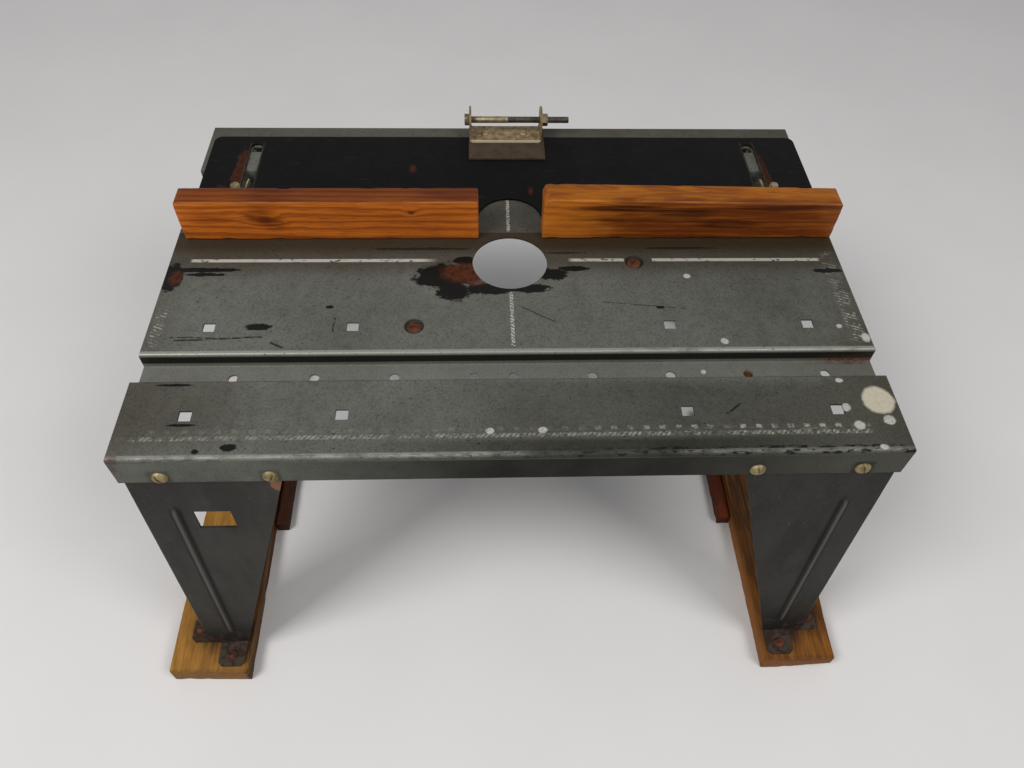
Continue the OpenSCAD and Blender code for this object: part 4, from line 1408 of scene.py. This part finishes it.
@dataclass
class FenceBoards:
    """The two wooden boards on the fence."""

    front: float = 23.0
    base: float = 266.3
    left_end: float = -222.5
    left_inner: float = -21.0
    left_back: float = 39.0
    left_height: float = 32.0
    right_inner: float = 23.0
    right_end: float = 228.0
    right_back: float = 41.5
    right_height: float = 34.0
    right_drop: float = 4.0
    nose: float = 6.5
    brown: Colour = srgb(92, 40, 15)
    dark: Colour = srgb(46, 19, 10)
    glow: Colour = srgb(204, 118, 36)

    def right_form(self, point: Vector) -> Vector:
        """Lowers the outer end and rounds the upper corners of the right board.

        Args:
            point: A point of the board in mm.

        Returns:
            Its new place.
        """
        part = (point.x - self.right_inner) / (self.right_end - self.right_inner)
        height = self.right_height - self.right_drop * part
        z = self.base + (point.z - self.base) * height / self.right_height
        moved = Vector((point.x, point.y, z))
        inner = (self.right_inner, self.base + self.right_height)
        moved = round_corner(moved, inner, 1.0, self.nose)
        return round_corner(moved, (self.right_end, self.base + height), -1.0, 3.0)

    def left_form(self, point: Vector) -> Vector:
        """Rounds the upper corners of the left board.

        Args:
            point: A point of the board in mm.

        Returns:
            Its new place.
        """
        top = self.base + self.left_height
        moved = round_corner(point, (self.left_end, top), 1.0, 3.0)
        return round_corner(moved, (self.left_inner, top), -1.0, 2.4)

    def build(self) -> None:
        """Makes the boards."""
        red_stains = (
            ((-168, 23, 287), (9, 6, 7), 0.75), ((-160, 23, 280), (8, 6, 5), 0.75),
            ((-200, 23, 284), (12, 6, 3), 0.4), ((-160, 30, 298), (16, 12, 3), 0.5),
            ((-38, 33, 298), (24, 9, 3), 0.5), ((-120, 39, 298), (100, 5, 3), 0.4),
        )
        streaks = (
            ((76, 23, 293), (30, 5, 2.4), 0.85), ((122, 23, 289), (20, 5, 4), 0.8),
            ((152, 23, 279), (26, 5, 3), 0.8), ((104, 23, 283), (60, 5, 1.4), 0.7),
            ((196, 23, 293), (40, 5, 2.6), 0.7),
        )
        pine = Wood(
            "red_pine", srgb(197, 107, 34), srgb(124, 54, 19), srgb(84, 36, 16), Axis.X,
            (-30.0, 230.0), 4.1, 0.66, tilt=0.012, wander=4.6, stained=0.2, shift=2.0,
            knots=(Knot((-165, 23, 284), 2.7), Knot((-66.8, 23, 290), 1.4)),
            stains=tuple(Stain(*one, self.brown, 0.7) for one in red_stains),
            rubbed_and_highlit_edge=23.4, top_plane=(298.3, 0.0), top_tone=(0.37, 0.345, 0.45),
        )
        oak = Wood(
            "golden_wood", srgb(174, 100, 30), srgb(110, 50, 18), srgb(80, 35, 15), Axis.X,
            (34.0, 236.0), 5.2, 0.6, tilt=-0.03, wander=16.0, stained=0.25, shift=6.0,
            stains=(
                Stain((40, 23, 282), (34, 5, 16), 0.5, self.glow, 0.6),
                Stain((152, 23, 283), (92, 5, 24), 0.9, self.brown, 0.35),
                *(Stain(*one, self.dark, 0.45) for one in streaks),
            ),
            rubbed_and_highlit_edge=23.4, top_plane=(300.75, -0.0195), top_tone=(0.84, 0.88, 0.66),
        )
        Plank(
            "left_board", "left_fence_board", "red_pine", (self.left_end, self.front, self.base),
            (self.left_inner, self.left_back, self.base + self.left_height), pine, 5.0, "fence",
            ease=1.0, dents=0.4, step=4.0, shape=self.left_form,
        ).build()
        Plank(
            "right_board", "right_fence_board", "golden_wood",
            (self.right_inner, self.front, self.base),
            (self.right_end, self.right_back, self.base + self.right_height), oak, 6.0, "fence",
            ease=1.2, dents=0.5, step=4.0, shape=self.right_form,
        ).build()


@dataclass
class WingNut:
    """A wing nut: a tapered hub and two upswept wings. Its body has its node's name."""

    name: str
    node: str
    finish: bpy.types.Material
    x: float
    turn: float
    y: float = 58.0
    base: float = 268.95
    hub_radius: float = 5.6
    hub_height: float = 7.5
    reach: float = 13.0
    height: float = 14.5
    thick: float = 2.4
    bore: float = 3.3
    wing_sides: int = 16

    def hub(self) -> bmesh.types.BMesh:
        """The hub with its bore.

        Returns:
            The form.
        """
        r, h, b = self.hub_radius, self.hub_height, self.bore
        outline = [(b, 0.4), (b + 0.4, 0.0), (r - 0.5, 0.0), (r, 0.5), (r - 0.15, 1.6)]
        outline += [(r - 0.7, h - 1.0), (r - 1.1, h - 0.2), (r - 1.8, h)]
        outline += [(b + 0.4, h), (b, h - 0.4)]
        return lathe(outline, closed=True)

    def wing(self, form: bmesh.types.BMesh, side: float) -> None:
        """Adds one wing to a form: slices from root to tip, each an oval across.

        Args:
            form: The form to add to.
            side: 1 for the wing along +X, -1 for the other.
        """
        root, top = self.hub_radius - 1.5, self.height
        slices = [(root, 1.2, 6.6, 1.1), (root + 1.6, 1.5, 7.4, 1.0), (root + 3.4, 3.0, 9.4, 0.9)]
        slices += [(root + 5.2, 4.8, 11.8, 0.85), (root + 6.9, 6.6, 13.6, 0.8)]
        slices += [(root + 8.1, 8.4, top - 0.3, 0.75), (self.reach - 0.3, 10.4, top - 0.8, 0.55)]
        rings = []
        for x, low, high, wide in slices:
            ring = []
            for i in range(self.wing_sides):
                angle = 2 * math.pi * i / self.wing_sides
                out, up = math.cos(angle), math.sin(angle)
                y = wide * self.thick / 2 * math.copysign(abs(out) ** 0.6, out)
                z = (low + high) / 2 + (high - low) / 2 * math.copysign(abs(up) ** 0.8, up)
                ring.append(form.verts.new((side * x, y, z)))
            rings.append(ring)
        bridge(form, rings)
        form.faces.new(rings[0])
        form.faces.new(rings[-1])

    def build(self) -> None:
        """Makes the nut and sets it on its body."""
        form = self.hub()
        self.wing(form, 1.0)
        self.wing(form, -1.0)
        place = Matrix.Translation((self.x, self.y, self.base))
        place = place @ Matrix.Rotation(math.radians(self.turn), 4, "Z")
        settle(cast(self.name, form, place, 38.0), self.node, self.finish, body=self.node)


@dataclass
class FenceClamps:
    """Carriage bolts, washers and wing nuts that clamp the fence."""

    bright: bpy.types.Material
    x: float = 190.5
    y: float = 58.0
    under: float = 264.5
    tip: float = 286.0
    radius: float = 3.175
    pitch: float = 1.27
    ridge: float = 0.42
    neck: float = 3.25
    head_radius: float = 7.2
    head_height: float = 3.4
    washer_base: float = 267.5
    washer: tuple[float, float, float] = (8.0, 1.4, 3.5)

    def carriage_head(self) -> bmesh.types.BMesh:
        """The domed head and the plain stem above it.

        Returns:
            The form.
        """
        angles = [math.radians(90 * i / 7) for i in range(8)]
        dome = [(self.head_radius * math.sin(a), -self.head_height * math.cos(a)) for a in angles]
        neck, stem = self.neck, self.radius - 0.4
        return lathe([*dome, (neck, 0.0), (neck, 1.4), (stem, 1.6), (stem, 4.0), (0.0, 4.0)])

    def build(self) -> None:
        """Makes the bolts and washers as two pieces and the wing nuts as two more."""
        places = [(-self.x, self.y), (self.x, self.y)]
        base = self.washer_base - 1.0
        spots = [Spot((x, y, base), UP, 20.0 * x) for x, y in places]
        sizes = (self.radius, self.tip - base - 0.5, self.pitch, self.ridge)
        parts = [grow("fence_bolt_threads", threaded_rods(), spots, sizes, self.bright)]
        for x, y in places:
            place = Matrix.Translation((x, y, self.under))
            parts.append(cast("carriage_head", self.carriage_head(), place))
        settle(joined("carriage_bolts", parts), "fence_bolts", self.bright)
        spots = [Spot((x, y, self.washer_base)) for x, y in places]
        rings = grow("clamp_washers", washers(), spots, self.washer, self.bright)
        settle(rings, "fence_washers", self.bright)
        WingNut("left_wing", "left_wing_nut", self.bright, -self.x, 53.0).build()
        WingNut("right_wing", "right_wing_nut", self.bright, self.x, 127.0).build()


@dataclass
class SmallScrews:
    """Every slotted screw, nut, nail and rivet of the table and its fence."""

    zinc: bpy.types.Material
    rusty: bpy.types.Material
    apron_y: float = 156.0
    apron_z: float = 247.6
    apron_x: tuple[float, float] = (203.5, 141.0)
    sheet: float = 3.1
    tab_spots: tuple[tuple[float, float], ...] = ((215.0, 177.1), (242.8, 156.0))
    tab_top: float = 19.6
    ring: float = 85.2
    ring_angle: float = 137.1
    dimple_floor: float = 264.56
    cone: float = 1.85
    nail: Point = (191.0, 37.0, 6.0)
    board_spots: tuple[tuple[float, float], ...] = (
        (-162.5, 40.5), (-81.0, 40.5), (83.0, 43.0), (168.0, 43.0),
    )
    board_z: float = 281.0
    rivet_x: tuple[float, float] = (-15.5, 14.5)
    rivet_y: float = 141.5
    rivet_z: float = 270.2

    def corners(self, places: Sequence[tuple[float, float]]) -> list[tuple[float, float]]:
        """The same places in all four corners."""
        return [(sx * x, sy * y) for sx in (-1, 1) for sy in (-1, 1) for x, y in places]

    def apron(self) -> None:
        """Screws through the aprons and the nuts behind them."""
        outside, inside = [], []
        for x, y in self.corners([(x, self.apron_y) for x in self.apron_x]):
            out = math.copysign(1.0, y)
            outside.append(Spot((x, y, self.apron_z), (0.0, out, 0.0)))
            behind = math.copysign(self.apron_y - self.sheet, y)
            inside.append(Spot((x, behind, self.apron_z), (0.0, -out, 0.0)))
        sizes = (4.75, 2.8, 1.2, 1.3, 2.4, 10.1, 300.0)
        screws = grow("apron_screw_heads", slotted_screws(), outside, sizes, self.zinc, 3)
        settle(screws, "apron_screws", self.zinc)
        sizes = (4.62, 4.0, 2.5, 4.85, 60.0)
        nuts = grow("apron_nut_row", hexagon_nuts(), inside, sizes, self.zinc, 4)
        settle(nuts, "apron_nuts", self.zinc)

    def tabs(self) -> None:
        """Wood screws through the foot tabs."""
        spots = [Spot((x, y, self.tab_top)) for x, y in self.corners(self.tab_spots)]
        sizes = (4.2, 2.8, 1.1, 1.2, 1.9, 14.0, 340.0)
        screws = grow("foot_screw_heads", slotted_screws(), spots, sizes, self.rusty, 5)
        settle(screws, "foot_tab_screws", self.rusty, "rusty_steel")

    def router(self) -> None:
        """Screws in the dimples of the top, each with a cone under its flat head."""
        angles = [math.radians(a) for a in (0.0, self.ring_angle, -self.ring_angle)]
        ring, floor, thin, wide = self.ring, self.dimple_floor, 2.4, 4.7
        places = [(ring * math.cos(a), ring * math.sin(a), floor) for a in angles]
        spots = [Spot(place, UP, 30.0) for place in places]
        sizes = (wide, 0.85, 1.2, 0.8, thin, 23.3, 120.0)
        parts = [grow("router_screw_heads", slotted_screws(), spots, sizes, self.rusty, 6)]
        outline = [(0.0, -self.cone), (thin, -self.cone), (wide, 0.0), (0.0, 0.0)]
        for place in places:
            parts.append(cast("screw_cone", lathe(outline), Matrix.Translation(place)))
        settle(joined("router_screws_rusty", parts), "router_screws", self.rusty, "rusty_steel")

    def nails(self) -> None:
        """Nails through the strips beside the runners."""
        places = self.corners([self.nail[:2]])
        spots = [Spot((x, y, self.nail[2]), (-math.copysign(1.0, x), 0.0, 0.0)) for x, y in places]
        sizes = (2.6, 1.0, 1.1, 25.0)
        nails = grow("strip_nail_heads", domed_heads(), spots, sizes, self.rusty, 7)
        settle(nails, "cleat_nails", self.rusty, "rusty_steel")

    def boards(self) -> None:
        """Screws that hold the boards from behind the fence's flanges."""
        spots = [Spot((x, y, self.board_z), (0.0, 1.0, 0.0)) for x, y in self.board_spots]
        sizes = (4.2, 2.4, 1.1, 1.1, 1.9, 12.5, 340.0)
        screws = grow("board_screw_heads", slotted_screws(), spots, sizes, self.zinc, 8)
        settle(screws, "fence_board_screws", self.zinc, body="fence")

    def rivets(self) -> None:
        """The two rivets of the guard's bracket."""
        spots = [Spot((x, self.rivet_y, self.rivet_z)) for x in self.rivet_x]
        sizes = (3.0, 1.8, 1.8, 2.7)
        rivets = grow("bracket_rivets", domed_heads(), spots, sizes, self.zinc, 9)
        settle(rivets, "guard_rivets", self.zinc, body="fence")

    def build(self) -> None:
        """Makes every row of them."""
        rows = (self.apron, self.tabs, self.router, self.nails, self.boards, self.rivets)
        for make in rows:
            make()


@dataclass
class HingeBolt:
    """The guard's hinge bolt, half of it threaded, and its nut."""

    bright: bpy.types.Material
    dull: bpy.types.Material
    y: float = 141.5
    z: float = 282.5
    head_x: float = -27.55
    plain_end: float = 2.0
    tip: float = 49.45
    radius: float = 2.5
    pitch: float = 0.8
    ridge: float = 0.28
    across: float = 8.0
    head_height: float = 3.6
    nut_x: float = 28.55
    nut_height: float = 4.5
    body: str = "guard_pin"

    def spot(self, x: float, side: float, turn: float = 0.0) -> list[Spot]:
        """The one spot on the bolt's line at x that points along X to that side."""
        return [Spot((x, self.y, self.z), (side, 0.0, 0.0), turn)]

    def build(self) -> None:
        """Makes the bolt of a bright plain half and a dull threaded one, and the nut."""
        start, bolt, bright = self.plain_end, "guard_hinge_bolt", self.bright
        sizes = (self.radius, self.tip - start - 0.5, self.pitch, self.ridge)
        rod = grow("hinge_thread", threaded_rods(), self.spot(start, 1.0), sizes, self.dull)
        settle(rod, bolt, self.dull, body=self.body)
        corner = self.across / 2 / math.cos(math.radians(30))
        spot, sizes = self.spot(self.head_x, -1.0, 12.0), (corner, self.head_height, 0.4, 4.75, 0.0)
        head = grow("hinge_head", hexagon_nuts(), spot, sizes, bright, 2)
        r, length = self.radius, start + 0.6 - self.head_x
        outline = [(0.0, -0.4), (r - 0.3, -0.4), (r, 0.1), (r, length - 0.5), (r - 0.5, length)]
        place = Matrix.Translation((self.head_x, self.y, self.z))
        place = place @ Matrix.Rotation(math.radians(90), 4, "Y")
        stem = cast("hinge_stem", lathe([*outline, (0.0, length)]), place)
        settle(joined("hinge_bolt_head", [head, stem]), bolt, bright, body=self.body)
        spot, sizes = self.spot(self.nut_x, 1.0, 25.0), (corner, self.nut_height, 2.3, 4.95, 0.0)
        nut = grow("hinge_nut", hexagon_nuts(), spot, sizes, bright, 2)
        settle(nut, "guard_hinge_nut", bright, body=self.body)


@dataclass
class SheetParts:
    """The CAD nodes that stay: top, legs, fence sheet, and the guard's plate and bracket."""

    legs: tuple[str, ...] = ("front_left_leg", "front_right_leg", "rear_left_leg", "rear_right_leg")

    def build(self, frame: dict) -> None:
        """Dresses the nodes.
        """
        # The bracket's front edge gets a painted highlight.
        bracket = Plating(
            "bracket_plate", srgb(156, 134, 96), srgb(102, 81, 53), srgb(72, 46, 28),
            0.55, 0.44, 0.4, edge=(131.5, 269.8),
        )
        plate = Rust(
            "guard_plate_steel", srgb(68, 54, 39), srgb(50, 40, 29), srgb(106, 92, 70), 0.02, 9.0
        )
        finishes = {"table_top": TopEnamel(), "fence_plate": FenceBlack()}
        finishes |= {"guard_bracket": bracket, "guard_plate": plate}
        dressed = {node: finish.build() for node, finish in finishes.items()}
        dressed |= dict.fromkeys(self.legs, LegEnamel().build())
        for node, finish in dressed.items():
            dress(frame["nodes"][node], finish)
            LOG.info("%s: dressed", node)


@dataclass
class Studio:
    """Floor, lights, world and the camera at the photograph's place."""

    camera: Point = (-20.43, -399.78, 641.92)
    yaw: float = 3.609
    pitch: float = 51.878
    roll: float = -2.295
    focal_pixels: float = 797.5
    width_pixels: float = 1024.0
    sensor: float = 36.0
    floor: float = 6.0
    aim: Point = (0.0, 0.0, 0.2)

    def place_camera(self) -> None:
        """Sets up the camera from its yaw, pitch and roll."""
        turns = (math.radians(angle) for angle in (self.yaw, self.pitch, self.roll))
        (sy, cy), (sp, cp), (sr, cr) = ((math.sin(turn), math.cos(turn)) for turn in turns)
        ahead = Vector((sy * cp, cy * cp, -sp))
        level = Vector((cy, -sy, 0.0))
        below = ahead.cross(level)
        right, down = level * cr + below * sr, below * cr - level * sr
        data = bpy.data.cameras.new("camera")
        data.sensor_fit, data.sensor_width = "HORIZONTAL", self.sensor
        data.lens = self.focal_pixels / self.width_pixels * self.sensor
        data.clip_start, data.clip_end = 0.01, 50.0
        camera = add_object("camera", data)
        turn = Matrix((right, -down, -ahead)).transposed().to_4x4()
        camera.matrix_world = Matrix.Translation(Vector(self.camera) * MM) @ turn
        bpy.context.scene.camera = camera

    def lamp(self, name: str, place: Point, size: float, power: float) -> None:
        """Adds a square lamp that points at the table.

        Args:
            name: Its name.
            place: Where it hangs, in metres.
            size: The side of the square in metres.
            power: Its power in watts.
        """
        data = bpy.data.lights.new(name, "AREA")
        data.shape, data.size, data.energy = "SQUARE", size, power
        lamp = add_object(name, data)
        lamp.location = place
        down = Vector(self.aim) - Vector(place)
        lamp.rotation_euler = down.to_track_quat("-Z", "Y").to_euler()

    def light(self) -> None:
        """Sets the world, which shows paler than it lights, and the lamps."""
        world = bpy.data.worlds.new("studio")
        bpy.context.scene.world = world
        world.use_nodes = True
        tree = Tree(world.node_tree)
        tree.nodes.clear()
        rays = tree.node("ShaderNodeLightPath").outputs
        seen = (Sock(tree, rays[f"Is {kind} Ray"]) for kind in ("Camera", "Glossy", "Transmission"))
        light, pale = (
            tree.out("ShaderNodeBackground", {"Color": colour, "Strength": strength})
            for colour, strength in (((0.95, 0.97, 1.0), 0.3), ((0.94, 0.95, 0.97), 0.7))
        )
        shown = tree.out("ShaderNodeMixShader", {0: reduce(Sock.__or__, seen), 1: light, 2: pale})
        tree.node("ShaderNodeOutputWorld", {"Surface": shown})
        self.lamp("key_left", (-0.95, -0.75, 1.75), 0.7, 21.0)
        self.lamp("key_right", (0.85, -0.85, 1.6), 0.7, 12.0)

    def build(self) -> None:
        """Makes the stage."""
        bpy.context.scene.view_settings.view_transform = "Standard"
        form = bmesh.new()
        bmesh.ops.create_grid(form, x_segments=2, y_segments=2, size=self.floor / 2 / MM)
        floor = cast("floor", form)
        dress(floor, StageMatt().build())
        self.light()
        self.place_camera()


def main() -> None:
    """Builds the whole scene."""
    logging.basicConfig(level=logging.INFO, format="%(message)s")
    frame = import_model()
    SheetParts().build(frame)
    Runners().build()
    FenceBoards().build()
    zinc = Plating(
        "screw_zinc", srgb(158, 142, 102), srgb(108, 93, 62), srgb(84, 52, 28), 0.75, 0.42, 0.6
    ).build()
    bright = Plating(
        "clamp_zinc", srgb(156, 142, 112), srgb(98, 86, 64), srgb(76, 50, 31), 0.6, 0.36
    ).build()
    dull = Plating(
        "thread_zinc", srgb(96, 88, 76), srgb(62, 56, 48), srgb(48, 38, 30), 0.6, 0.5
    ).build()
    rusty = Rust("rusty_screws", srgb(92, 48, 30), srgb(46, 28, 20), srgb(112, 88, 66), 0.1).build()
    SmallScrews(zinc, rusty).build()
    FenceClamps(bright).build()
    HingeBolt(bright, dull).build()
    Studio().build()


if __name__ == "__main__":
    main()
